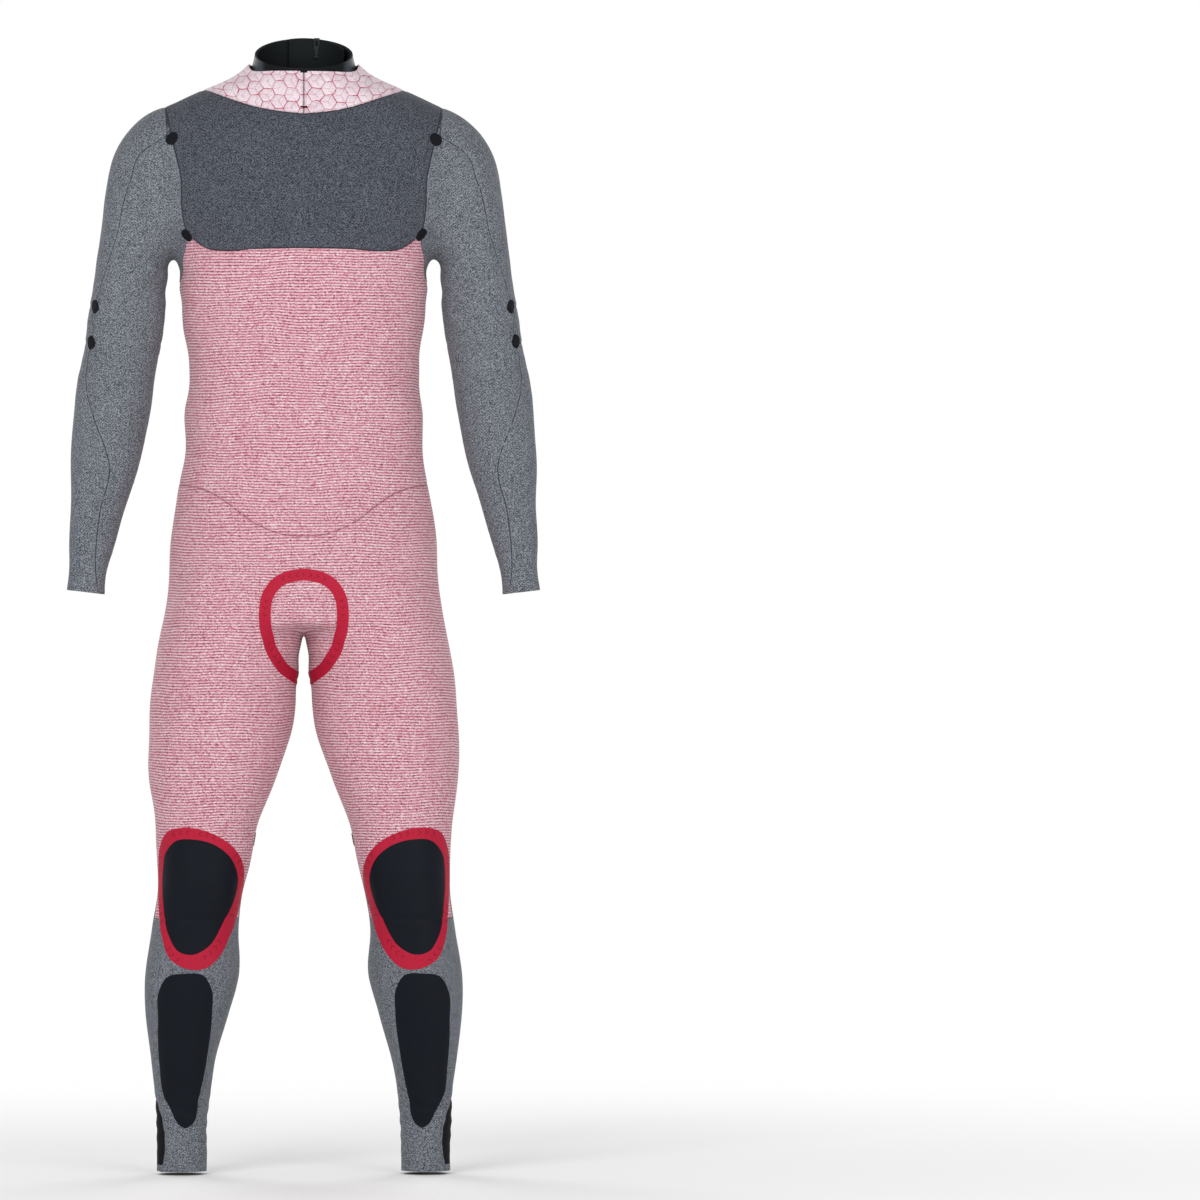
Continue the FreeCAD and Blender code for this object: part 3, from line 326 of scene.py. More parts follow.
FIELDS = {
    "ridge": lambda p: p[:, 1] - middle_y(p),
    "hole": lambda p: axis_x(p) - 160 - (p[:, 2] - 1172) * 16 / 180,
    "yoke": lambda p: p[:, 2] - YOKE(axis_x(p)),
    "chest_side": lambda p: axis_x(p) - CHEST_SIDE(p[:, 2]),
    "chest_foot": lambda p: p[:, 2] - CHEST_FOOT(axis_x(p)),
    "abdomen": lambda p: p[:, 2] - ABDOMEN(axis_x(p)),
    "sleeve": lambda p: axis_x(p) - SLEEVE_SEAM(p[:, 2]),
    "forearm": lambda p: axis_x(p) - FOREARM_SEAM(p[:, 2]),
    "back_tape": lambda p: axis_x(p) - BACK_TAPE(p[:, 2]),
    "back_neck": lambda p: axis_x(p) - BACK_NECK(p[:, 2]),
    "lumbar": lambda p: p[:, 2] - LUMBAR(axis_x(p)),
    "shoulder_strip": lambda p: p[:, 2] - (1342 - (axis_x(p) - 114) * 15 / 47),
    "gusset_front": lambda p: axis_x(p) - GUSSET_FRONT(p[:, 2]),
    "gusset_foot": lambda p: p[:, 2] - 1102 + smooth(-60, 60, p[:, 1]) * 2,
    "calf": lambda p: p[:, 2] - calf_line(p),
    "elbow_top": lambda p: p[:, 2] - ELBOW_TOP(axis_x(p)),
    "elbow_foot": lambda p: p[:, 2] - ELBOW_FOOT(axis_x(p)),
    "arm_ring": lambda p: p[:, 2] - 1083,
    "elbow_front": lambda p: axis_x(p) - 267,
    "elbow_end": lambda p: axis_x(p) - ELBOW_END(p[:, 2]),
    "ankle": lambda p: axis_x(p) - ANKLE(p[:, 2]),
    "wrist_hem": lambda p: along_sleeve(p) + 9,
    "wrist_end": lambda p: along_sleeve(p),
    "ankle_hem": lambda p: p[:, 2] - 9,
    "ankle_end": lambda p: p[:, 2] - 0.4,
    "neck_end": lambda p: p[:, 2] - neck_edge(p),
    "crotch": lambda p: axis_x(p) - CROTCH(p[:, 2]),
    "hip_ring": lambda p: p[:, 2] - 720,
    "thigh_ring": lambda p: p[:, 2] - 560,
    "middle": lambda p: p[:, 0],
}


ANKLE = curve_x([(181, -10), (181, 0), (177, 28), (177, 48), (180, 66), (185, 82), (191, 94), (199, 100)])


def neck_edge(p):
    """Height of the yoke's and back's upper edge: lowest at the throat."""
    return 1393 + 13 * smooth(-52, 4, p[:, 1]) + 2 * smooth(20, 70, p[:, 1])


def along_sleeve(p):
    """Distance beyond the wrist hem, along the sleeve."""
    return (axis_x(p) - 276.35) * 0.1166 - (p[:, 2] - 735.0) * 0.9932


def calf_line(p):
    side = smooth(-12, 8, p[:, 1] - middle_y(p))
    return 322 + (CALF_ARCH(axis_x(p)) - 322) * side


def reach(points):
    """Distance in the front view, over both sides at once, from a line of points (|x|, z)."""
    line = np.array(points, float)

    def distance(p):
        q = np.stack([np.abs(p[:, 0]), p[:, 2]], 1)
        best = np.full(len(q), 1e9)
        for a, b in zip(line[:-1], line[1:]):
            d = b - a
            t = np.clip(((q - a) @ d) / (d @ d), 0, 1)
            best = np.minimum(best, np.linalg.norm(q - a - t[:, None] * d, axis=1))
        return best

    return distance


def dense(points, steps=8, closed=False):
    """The same line with smooth curves between its points."""
    p = np.array(points, float)
    if closed:
        p = np.vstack([p[-2], p[:-1], p[0], p[1]])
    run = np.concatenate([[0], np.cumsum(np.linalg.norm(np.diff(p, axis=0), axis=1))])
    first, last = (run[1], run[-2]) if closed else (0, run[-1])
    fine = np.linspace(first, last, steps * len(p))
    return np.stack([spline(fine, run, p[:, 0]), spline(fine, run, p[:, 1])], 1)


def outline_field(points):
    """Signed distance in the front view from a closed outline (|x|, z): negative inside."""
    ring = dense(points, closed=True)
    far = reach(ring)

    def field(p):
        x, z = np.abs(p[:, 0]), p[:, 2]
        inside = np.zeros(len(p), bool)
        for (xa, za), (xb, zb) in zip(ring[:-1], ring[1:]):
            hit = (za > z) != (zb > z)
            with np.errstate(divide="ignore", invalid="ignore"):
                inside ^= hit & (x < (xb - xa) * (z - za) / (zb - za) + xa)
        return far(p) * np.where(inside, -1, 1)

    return field


KNEE_PAD = [(137, 423), (161, 421), (174, 406), (178, 382), (177, 340), (170, 300), (158, 281),
            (141, 277), (122, 286), (101, 320), (88, 348), (83, 373), (91, 398), (110, 415), (137, 423)]
KNEE_RING = [(150, 438), (172, 432), (181, 414), (184, 388), (183, 338), (179, 299), (168, 271),
             (146, 259), (124, 260), (106, 276), (94, 300), (83, 335), (76, 366), (77, 392), (90, 414),
             (108, 427), (128, 435), (150, 438)]
SHIN_PAD = [(127, 251), (150, 253), (172, 249), (182, 232), (184, 190), (182, 135), (178, 100),
            (167, 78), (157, 60), (150, 56), (143, 60), (133, 96), (123, 145), (116, 203), (117, 235),
            (127, 251)]
pad_field = outline_field(KNEE_PAD)
ring_field = outline_field(KNEE_RING)
shin_field = outline_field(SHIN_PAD)
TAPE_LINE = dense([(180, 1271)] + BACK_SPOTS)
LUMBAR_LINE = dense(LUMBAR_SPOTS + [(138, 878)])
CROTCH_LINE = dense(CROTCH_SPOTS + [(7, 625)])
BACK_TAPE_HALF = 6  # half widths of the tapes, in mm
LUMBAR_TAPE_HALF = 9
CROTCH_TAPE_HALF = 7.3
TAPE_LIFT = 0.75  # how far a tape's face stands off the cloth, and its thickness, in mm
TAPE_THICK = 1.0
tape_far, lumbar_far, crotch_far = reach(TAPE_LINE), reach(LUMBAR_LINE), reach(CROTCH_LINE)
FIELDS.update({
    "back_band": lambda p: tape_far(p) - BACK_TAPE_HALF,
    "lumbar_band": lambda p: lumbar_far(p) - LUMBAR_TAPE_HALF,
    "crotch_band": lambda p: crotch_far(p) - CROTCH_TAPE_HALF,
    "pad": pad_field,
    "ring": ring_field,
    "shin": shin_field,
})


def near(test):
    """A test on vertices: those that a cut is for."""
    return lambda p: test(np.abs(p[:, 0]), p[:, 1] - middle_y(p), p[:, 2], parts_of(p))


CUTS = [
    ("wrist_end", lambda x, f, z, part: (part == 1) & (z < 760)),
    ("wrist_hem", lambda x, f, z, part: (part == 1) & (z < 775)),
    ("ankle_end", lambda x, f, z, part: z < 15),
    ("ankle_hem", lambda x, f, z, part: z < 25),
    ("neck_end", lambda x, f, z, part: z > 1385),
    ("ridge", lambda x, f, z, part: (part != 2) | (z > 540)),
    ("hole", lambda x, f, z, part: z > 1150),
    ("middle", lambda x, f, z, part: (x < 12) & ((z < 770) | (z > 1330))),
    ("yoke", lambda x, f, z, part: (f < 8) & (z > 1330)),
    ("chest_side", lambda x, f, z, part: (f < 8) & (z > 1170) & (part == 0)),
    ("chest_foot", lambda x, f, z, part: (f < 8) & (z > 1160) & (z < 1215) & (part == 0)),
    ("gusset_front", lambda x, f, z, part: (f < 8) & (z > 1090) & (z < 1205) & (part == 0)),
    ("gusset_foot", lambda x, f, z, part: (x > 105) & (part == 0) & (np.abs(z - 1102) < 20)),
    ("abdomen", lambda x, f, z, part: (f < 8) & (part == 0)),
    ("back_neck", lambda x, f, z, part: (f > -8) & (z > 1245) & (part == 0)),
    ("shoulder_strip", lambda x, f, z, part: (f > -8) & (z > 1300) & (x > 100) & (part == 0)),
    ("back_tape", lambda x, f, z, part: (f > -8) & (z < 1275) & (z > 860) & (part == 0)),
    ("lumbar", lambda x, f, z, part: (f > -8) & (part == 0)),
    ("crotch", lambda x, f, z, part: (f < 8) & (z > 600) & (z < 775) & (x < 70)),
    ("hip_ring", lambda x, f, z, part: (part != 1) & (np.abs(z - 720) < 15)),
    ("thigh_ring", lambda x, f, z, part: (part == 2) & (np.abs(z - 560) < 15)),
    ("calf", lambda x, f, z, part: (part == 2) & (z < 520)),
    ("ankle", lambda x, f, z, part: (part == 2) & (z < 110) & (x > 155)),
    ("arm_ring", lambda x, f, z, part: (part == 1) & (np.abs(z - 1083) < 15)),
    ("sleeve", lambda x, f, z, part: (part == 1) & (f < 8) & (z > 1080)),
    ("elbow_top", lambda x, f, z, part: (part == 1) & (np.abs(z - 1090) < 25)),
    ("elbow_foot", lambda x, f, z, part: (part == 1) & (np.abs(z - 1045) < 25)),
    ("elbow_front", lambda x, f, z, part: (part == 1) & (np.abs(z - 1070) < 40) & (f < 8)),
    ("elbow_end", lambda x, f, z, part: (part == 1) & (np.abs(z - 1062) < 45) & (f > -8) & (x < 235)),
    ("forearm", lambda x, f, z, part: (part == 1) & (f < 8) & (z < 1060)),
    ("back_band", lambda x, f, z, part: (f > -8) & (part == 0) & (z < 1290) & (z > 838)),
    ("lumbar_band", lambda x, f, z, part: (f > -8) & (part == 0) & (z < 960) & (z > 850)),
    ("crotch_band", lambda x, f, z, part: (f < 8) & (z > 600) & (z < 780) & (x < 75)),
    ("pad", lambda x, f, z, part: (f < 8) & (part == 2) & (z > 240) & (z < 450)),
    ("ring", lambda x, f, z, part: (f < 8) & (part == 2) & (z > 230) & (z < 460)),
    ("shin", lambda x, f, z, part: (f < 8) & (part == 2) & (z > 30) & (z < 265)),
]


def label(p):
    """The panel that each point of the skin belongs to."""
    x, y, z = np.abs(p[:, 0]), p[:, 1], p[:, 2]
    part = parts_of(p)
    f = {name: field(p) for name, field in FIELDS.items()}
    side = np.where(p[:, 0] > 0, "left_", "right_")
    front = f["ridge"] < 0
    out = np.full(len(p), "", object)

    def put(mask, name, sided=False):
        free = mask & (out == "")
        out[free] = [s + name for s in side[free]] if sided else name

    put((part == 1) & (f["wrist_end"] > 0), "gone")
    put((part == 2) & (f["ankle_end"] < 0), "gone")
    put((part == 0) & (z > 1385) & (f["neck_end"] > 0), "gone")
    put((part == 1) & (f["wrist_hem"] > 0), "wrist_cuff", True)
    arm = part == 1
    elbow = arm & (f["elbow_top"] < 0) & (f["elbow_foot"] > 0)
    elbow &= (~front & (f["elbow_end"] > 0)) | (front & (f["elbow_front"] > 0))
    put(elbow, "elbow_patch", True)
    upper = arm & (z > 1070)
    inner = front & (f["sleeve"] < 0)
    put(upper & (f["elbow_top"] > 0) & ~inner & ~(front & (f["arm_ring"] < 0)), "upper_sleeve_outer", True)
    put(upper & (f["arm_ring"] > 0) & inner, "upper_sleeve_inner", True)
    put(arm & front & (z > 1050) & (f["elbow_front"] < 0), "forearm_inner", True)
    put(arm & front & (f["forearm"] < 0), "forearm_inner", True)
    put(arm, "forearm_outer", True)
    torso = part == 0
    crotch = front & (f["crotch"] < 0) & (z < 757) & (z > 616)
    put(crotch, "crotch", True)
    put((part == 2) & (f["ankle_hem"] < 0), "ankle_cuff", True)
    put((part == 2) & (f["ankle"] > 0) & (z < 120), "ankle_gusset", True)
    put((part == 2) & (f["calf"] < 0), "calf_panel", True)
    put((part == 2) & (f["thigh_ring"] < 0), "thigh_panel", True)
    put((part != 1) & (f["hip_ring"] < 0), "hip_bend_panel", True)
    put(torso & front & (f["yoke"] > 0) & (x < 131), "neck_yoke", True)
    put(torso & front & (f["chest_side"] < 0) & (f["chest_foot"] > 0), "chest_panel")
    put(torso & front & (f["chest_side"] > 0) & (z > 1193), "underarm_gusset", True)
    put(torso & front & (f["gusset_front"] > 0) & (f["gusset_foot"] > 0), "underarm_gusset", True)
    put(torso & front & (f["abdomen"] > 0), "front_torso_panel")
    put(torso & front, "hip_panel")
    put(torso & (f["lumbar"] < 0), "seat_panel")
    put(torso & (z > 1257) & (f["back_neck"] < 0), "back_panel")
    put(torso & (z > 1300) & (f["shoulder_strip"] > 0), "chest_panel")
    put(torso & (z > 1257), "shoulder_blade_patches")
    put(torso & (f["back_tape"] < 0), "back_panel")
    put(torso & (f["gusset_foot"] > 0), "underarm_gusset", True)
    put(torso, "front_torso_panel")
    return out


co, tri = body_skin()
for name, where in CUTS:
    co, tri = split(co, tri, FIELDS[name], near(where))
corner = co[tri]
area = np.linalg.norm(np.cross(corner[:, 1] - corner[:, 0], corner[:, 2] - corner[:, 0]), axis=1)
tri = tri[area > 1e-4]
centre = co[tri].mean(1)
panel = label(centre)
keep = panel != "gone"
tri, centre, panel = tri[keep], centre[keep], panel[keep]


# ------------------------------------------------------------------ seams and shape of the cloth
def vertex_normals(co, tri):
    face = np.cross(co[tri[:, 1]] - co[tri[:, 0]], co[tri[:, 2]] - co[tri[:, 0]])
    total = np.zeros_like(co)
    for k in range(3):
        np.add.at(total, tri[:, k], face)
    return total / np.maximum(np.linalg.norm(total, axis=1, keepdims=True), 1e-12)


def seam_group(name):
    """Panels of one group are one piece of cloth to the eye: the cut between them hasn't a seam."""
    side = name.split("_")[0]
    for words, group in (
        (("hip_bend", "thigh_panel", "hip_panel", "seat_panel"), "rose_below"),
        (("upper_sleeve_inner", "forearm_inner", "underarm", "wrist_cuff"), side + "_sleeve_inside"),
        (("calf_panel", "ankle_cuff"), side + "_calf"),
        (("crotch",), "crotch"),
        (("back_panel",), "quilt"),
    ):
        if any(word in name for word in words):
            return group
    return name


def shared_edges(tri):
    """Every edge of the mesh with the two triangles on its sides."""
    e = np.concatenate([tri[:, [0, 1]], tri[:, [1, 2]], tri[:, [2, 0]]])
    owner = np.tile(np.arange(len(tri)), 3)
    key = np.sort(e, 1)
    order = np.lexsort((key[:, 1], key[:, 0]))
    key, owner = key[order], owner[order]
    twin = np.where((key[1:] == key[:-1]).all(1))[0]
    return key[twin], owner[twin], owner[twin + 1]


groups = {n: seam_group(n) for n in set(panel)}
look = np.array([groups[n] for n in panel], object)
edge, one, two = shared_edges(tri)
seam = look[one] != look[two]
names = np.stack([look[one], look[two]], 1).astype(str)
over_shoulder = (names == "quilt").any(1) & (np.char.find(names, "neck_yoke") >= 0).any(1)
pair = np.stack([panel[one], panel[two]], 1).astype(str)
hem = (np.char.find(pair, "_cuff") >= 0).any(1)
elbow_side = (np.char.find(pair, "forearm_outer") >= 0).any(1) & (np.char.find(pair, "sleeve") >= 0).any(1)
armpit = (np.char.find(pair, "underarm") >= 0).any(1) & (np.char.find(pair, "sleeve") >= 0).any(1)
armpit &= co[edge[:, 0], 2] < 1172
seam &= ~over_shoulder & ~hem & ~elbow_side & ~armpit
seam_edges = edge[seam]


def seam_distance(co):
    tree = KDTree(len(seam_edges) * 4)
    n = 0
    for share in (0.0, 0.25, 0.5, 0.75):
        for point in co[seam_edges[:, 0]] * (1 - share) + co[seam_edges[:, 1]] * share:
            tree.insert(point, n)
            n += 1
    tree.balance()
    return np.array([tree.find(p)[2] for p in co])


REST = co.copy()
SEAM = np.minimum(seam_distance(co), 40.0)
NORMAL = vertex_normals(co, tri)


def folds(p):
    """Soft creases of the cloth: a little everywhere, more at the bends of the limbs."""
    x, y, z = p[:, 0], p[:, 1], p[:, 2]
    ax = np.abs(x)

    def wave(a, b, c, q):
        return np.sin(x * a + y * b + z * c + q)

    broad = wave(0.031, 0.02, 0.043, 1.0) * wave(-0.02, 0.035, 0.024, 2.1) * 0.7
    broad += wave(0.06, -0.03, 0.02, 0.3) * wave(0.01, 0.05, 0.055, 4.0) * 0.35
    lean = z + 0.25 * ax
    crook = np.exp(-(((z - 1055) / 55) ** 2)) * (ax > 168) * smooth(10, -30, y)
    elbow = np.sin(lean * 0.27 + 0.6 * np.sin(ax * 0.06)) * crook * 1.1
    hollow = np.exp(-(((z - 345) / 60) ** 2)) * smooth(-5, 35, y) * (z < 520)
    knee = np.sin((z + 0.12 * x) * 0.24 + 0.8 * np.sin(x * 0.05)) * hollow * 1.5
    groin = np.exp(-(((z - 665) / 50) ** 2)) * smooth(110, 40, ax)
    crease = np.sin((z + 0.8 * ax) * 0.16) * groin * 1.1
    ankle = np.exp(-(((z - 62) / 32) ** 2)) * np.sin((z + 0.3 * x) * 0.33) * 0.6
    pit = np.exp(-(np.hypot(ax - 172, z - 1160) / 55) ** 2) * np.sin((ax * 0.7 - z) * 0.16) * 1.4
    waist = np.exp(-(((z - 1010) / 60) ** 2)) * (ax < 165) * np.sin(z * 0.11 + ax * 0.02) * 0.7
    return broad + elbow + knee + crease + ankle + pit + waist


co = co + NORMAL * folds(co)[:, None]
co = co - NORMAL * (0.85 * np.exp(-((SEAM / 2.4) ** 2)))[:, None]
NORMAL = vertex_normals(co, tri)


# ------------------------------------------------------------------ making pieces
def to_row(p):
    return (np.asarray(p, float) - [0, 0, HANGER]) / 1000


def set_attribute(mesh, name, kind, values):
    made = mesh.attributes.new(name, kind, "POINT")
    key = "vector" if kind == "FLOAT_VECTOR" else "value"
    made.data.foreach_set(key, np.asarray(values, np.float32).ravel())


def shell(name, chosen, lift, deep, materials, extra=None):
    """A closed piece of cloth over the chosen triangles: its face is lifted off the skin by lift and
    its back lies deep below that face. The second material is for the back and the edges."""
    chosen = np.asarray(chosen)
    used, local = np.unique(chosen, return_inverse=True)
    local = local.reshape(-1, 3)
    n = len(used)
    rise = lift(REST[used]) if callable(lift) else np.full(n, float(lift))
    face = co[used] + NORMAL[used] * rise[:, None]
    back = face - NORMAL[used] * deep
    ring = np.concatenate([local[:, [0, 1]], local[:, [1, 2]], local[:, [2, 0]]])
    edges = dict.fromkeys((a, b) for a, b in ring)
    rim = [(a, b) for a, b in edges if (b, a) not in edges]
    faces = [tuple(t) for t in local] + [tuple(n + i for i in t[::-1]) for t in local]
    faces += [(a, n + a, n + b, b) for a, b in rim]
    mesh = bpy.data.meshes.new(name)
    mesh.from_pydata([tuple(p) for p in to_row(np.vstack([face, back]))], [], faces)
    for material in materials:
        mesh.materials.append(material)
    index = np.zeros(len(faces), np.int32)
    index[len(local):] = len(materials) - 1
    mesh.polygons.foreach_set("material_index", index)
    set_attribute(mesh, "rest", "FLOAT_VECTOR", np.vstack([REST[used], REST[used]]))
    set_attribute(mesh, "seam", "FLOAT", np.concatenate([SEAM[used], SEAM[used] + 40]))
    if extra is not None:
        values = extra(REST[used])
        set_attribute(mesh, "run", "FLOAT_VECTOR", np.vstack([values, values]))
    normals = []
    up = NORMAL[used]
    for t in local:
        normals += [up[t[0]], up[t[1]], up[t[2]]]
    for t in local:
        normals += [-up[t[2]], -up[t[1]], -up[t[0]]]
    stacked = np.vstack([face, back])
    for a, b in rim:
        side = np.cross(stacked[n + a] - stacked[a], stacked[b] - stacked[a])
        side = side / max(np.linalg.norm(side), 1e-9)
        normals += [side] * 4
    mesh.normals_split_custom_set([tuple(v) for v in normals])
    obj = bpy.data.objects.new(name, mesh)
    bpy.context.collection.objects.link(obj)
    return obj


# ------------------------------------------------------------------ materials
def rgb(r, g, b):
    """A colour from 0-255 display values, as linear light."""
    c = [v / 255 for v in (r, g, b)]
    return tuple(v / 12.92 if v <= 0.04045 else ((v + 0.055) / 1.055) ** 2.4 for v in c) + (1.0,)


class Look:
    """A material being wired up node by node."""

    def __init__(self, name, rough=0.9, metallic=0.0, sheen=0.0, specular=0.3):
        self.made = bpy.data.materials.new(name)
        self.made.use_nodes = True
        self.tree = self.made.node_tree
        self.tree.nodes.clear()
        self.bsdf = self.tree.nodes.new("ShaderNodeBsdfPrincipled")
        out = self.tree.nodes.new("ShaderNodeOutputMaterial")
        self.tree.links.new(self.bsdf.outputs[0], out.inputs[0])
        for key, value in (("Roughness", rough), ("Metallic", metallic), ("Sheen Weight", sheen),
                           ("Specular IOR Level", specular)):
            self.bsdf.inputs[key].default_value = value

    def put(self, socket, value):
        if isinstance(value, bpy.types.NodeSocket):
            self.tree.links.new(value, socket)
        else:
            socket.default_value = value

    def attribute(self, name, output="Fac"):
        node = self.tree.nodes.new("ShaderNodeAttribute")
        node.attribute_name = name
        return node.outputs[output]

    def math(self, operation, *values):
        node = self.tree.nodes.new("ShaderNodeMath")
        node.operation = operation
        for socket, value in zip(node.inputs, values):
            self.put(socket, value)
        return node.outputs[0]

    def add(self, a, b):
        return self.math("ADD", a, b)

    def minus(self, a, b):
        return self.math("SUBTRACT", a, b)

    def times(self, a, b):
        return self.math("MULTIPLY", a, b)

    def parts(self, vector):
        node = self.tree.nodes.new("ShaderNodeSeparateXYZ")
        self.put(node.inputs[0], vector)
        return node.outputs[0], node.outputs[1], node.outputs[2]

    def join(self, x, y, z):
        node = self.tree.nodes.new("ShaderNodeCombineXYZ")
        for socket, value in zip(node.inputs, (x, y, z)):
            self.put(socket, value)
        return node.outputs[0]

    def noise(self, vector, scale, detail=2.0, rough=0.5):
        node = self.tree.nodes.new("ShaderNodeTexNoise")
        self.put(node.inputs["Vector"], vector)
        node.inputs["Scale"].default_value = scale
        node.inputs["Detail"].default_value = detail
        node.inputs["Roughness"].default_value = rough
        return node.outputs["Fac"]

    def scaled(self, vector, by):
        node = self.tree.nodes.new("ShaderNodeVectorMath")
        node.operation = "MULTIPLY"
        self.put(node.inputs[0], vector)
        node.inputs[1].default_value = by
        return node.outputs[0]

    def ramp(self, value, *stops):
        node = self.tree.nodes.new("ShaderNodeValToRGB")
        self.put(node.inputs[0], value)
        bar = node.color_ramp
        while len(bar.elements) < len(stops):
            bar.elements.new(0.5)
        for element, (place, colour) in zip(bar.elements, stops):
            element.position = place
            element.color = colour if isinstance(colour, tuple) else (colour,) * 3 + (1,)
        return node.outputs[0]

    def mix(self, factor, a, b, kind="MIX"):
        node = self.tree.nodes.new("ShaderNodeMix")
        node.data_type = "RGBA"
        node.blend_type = kind
        self.put(node.inputs[0], factor)
        self.put(node.inputs[6], a)
        self.put(node.inputs[7], b)
        return node.outputs[2]

    def step(self, value, low, high):
        node = self.tree.nodes.new("ShaderNodeMapRange")
        node.interpolation_type = "SMOOTHSTEP"
        self.put(node.inputs["Value"], value)
        node.inputs["From Min"].default_value = low
        node.inputs["From Max"].default_value = high
        return node.outputs[0]

    def finish(self, colour, height=None, strength=0.5, distance=0.0006):
        self.put(self.bsdf.inputs["Base Color"], colour)
        if height is not None:
            bump = self.tree.nodes.new("ShaderNodeBump")
            bump.inputs["Strength"].default_value = strength
            bump.inputs["Distance"].default_value = distance
            self.put(bump.inputs["Height"], height)
            self.tree.links.new(bump.outputs[0], self.bsdf.inputs["Normal"])
        return self.made


def stitched(look, colour, thread, dark, wide=0.95):
    """Adds the crease of a seam and a row of stitches on each side of it. The crease is also painted dark:
    partly the seam's own dark line, partly painted shade in its groove.
    """
    far = look.attribute("seam")
    x, _, z = look.parts(look.attribute("rest", "Vector"))
    beat = look.math("SINE", look.times(look.add(z, look.times(x, 0.9)), 2.6))
    dash = look.step(beat, -0.5, 0.1)
    row = look.times(look.step(far, 0.9, 1.3), look.minus(1.0, look.step(far, 2.1, 2.6)))
    colour = look.mix(look.times(look.times(row, dash), 0.75), colour, thread)
    # The crease is painted towards the dark colour: painted shade in the seam's groove, which also stands for
    # the seam's own dark line.
    crease = look.minus(1.0, look.step(far, 0.15, wide))
    colour = look.mix(look.times(crease, 0.8), colour, dark)
    bulge = look.times(look.times(row, dash), 0.8)
    return colour, look.minus(bulge, crease)


def rose_cloth():
    look = Look("rose_heather", rough=0.95, sheen=0.1, specular=0.08)
    rest = look.attribute("rest", "Vector")
    _, _, z = look.parts(rest)
    streak = look.noise(look.scaled(rest, (0.3, 0.3, 0.8)), 1.0, 2.0, 0.6)
    speck = look.noise(look.scaled(rest, (0.55, 0.55, 0.62)), 1.0, 1.0)
    blotch = look.noise(rest, 0.03, 2.0)
    wave = look.times(look.minus(look.noise(rest, 0.012, 1.0), 0.5), 9.0)
    rib = look.math("SINE", look.times(look.add(z, wave), 2 * math.pi / 3.53))
    value = look.add(look.times(streak, 0.28), look.times(speck, 0.62))
    value = look.add(look.add(value, 0.05), look.times(rib, 0.105))
    value = look.add(value, look.times(look.minus(blotch, 0.5), 0.05))
    colour = look.ramp(value, (0.30, rgb(117, 50, 68)), (0.40, rgb(168, 94, 111)),
                       (0.50, rgb(194, 140, 151)), (0.60, rgb(210, 179, 186)), (0.72, rgb(220, 214, 216)))
    # The last colour is painted shade darkening the seam crease, together with the seam's own dark line.
    colour, relief = stitched(look, colour, rgb(190, 122, 135), rgb(88, 32, 46))
    height = look.add(look.times(rib, 0.3), look.times(speck, 0.7))
    height = look.add(height, relief)
    return look.finish(colour, height, 0.45, 0.0006)


def grey_cloth(name, low, middle, high, thread, dark, wide):
    look = Look(name, rough=0.93, sheen=0.08, specular=0.08)
    rest = look.attribute("rest", "Vector")
    x, _, z = look.parts(rest)
    speck = look.noise(look.scaled(rest, (0.62, 0.62, 0.76)), 1.0, 1.2, 0.6)
    blotch = look.noise(look.scaled(rest, (1, 1, 0.6)), 0.03, 2.0)
    saw = look.math("PINGPONG", x, 9.0)
    chevron = look.math("SINE", look.times(look.add(z, saw), 2 * math.pi / 3.6))
    value = look.add(speck, look.times(chevron, 0.05))
    value = look.add(value, look.times(look.minus(blotch, 0.5), 0.05))
    colour = look.ramp(value, (0.37, low), (0.5, middle), (0.63, high))
    colour, relief = stitched(look, colour, thread, dark, wide)
    height = look.add(look.times(chevron, 0.3), look.times(speck, 0.8))
    return look.finish(colour, look.add(height, relief), 0.4, 0.0005)


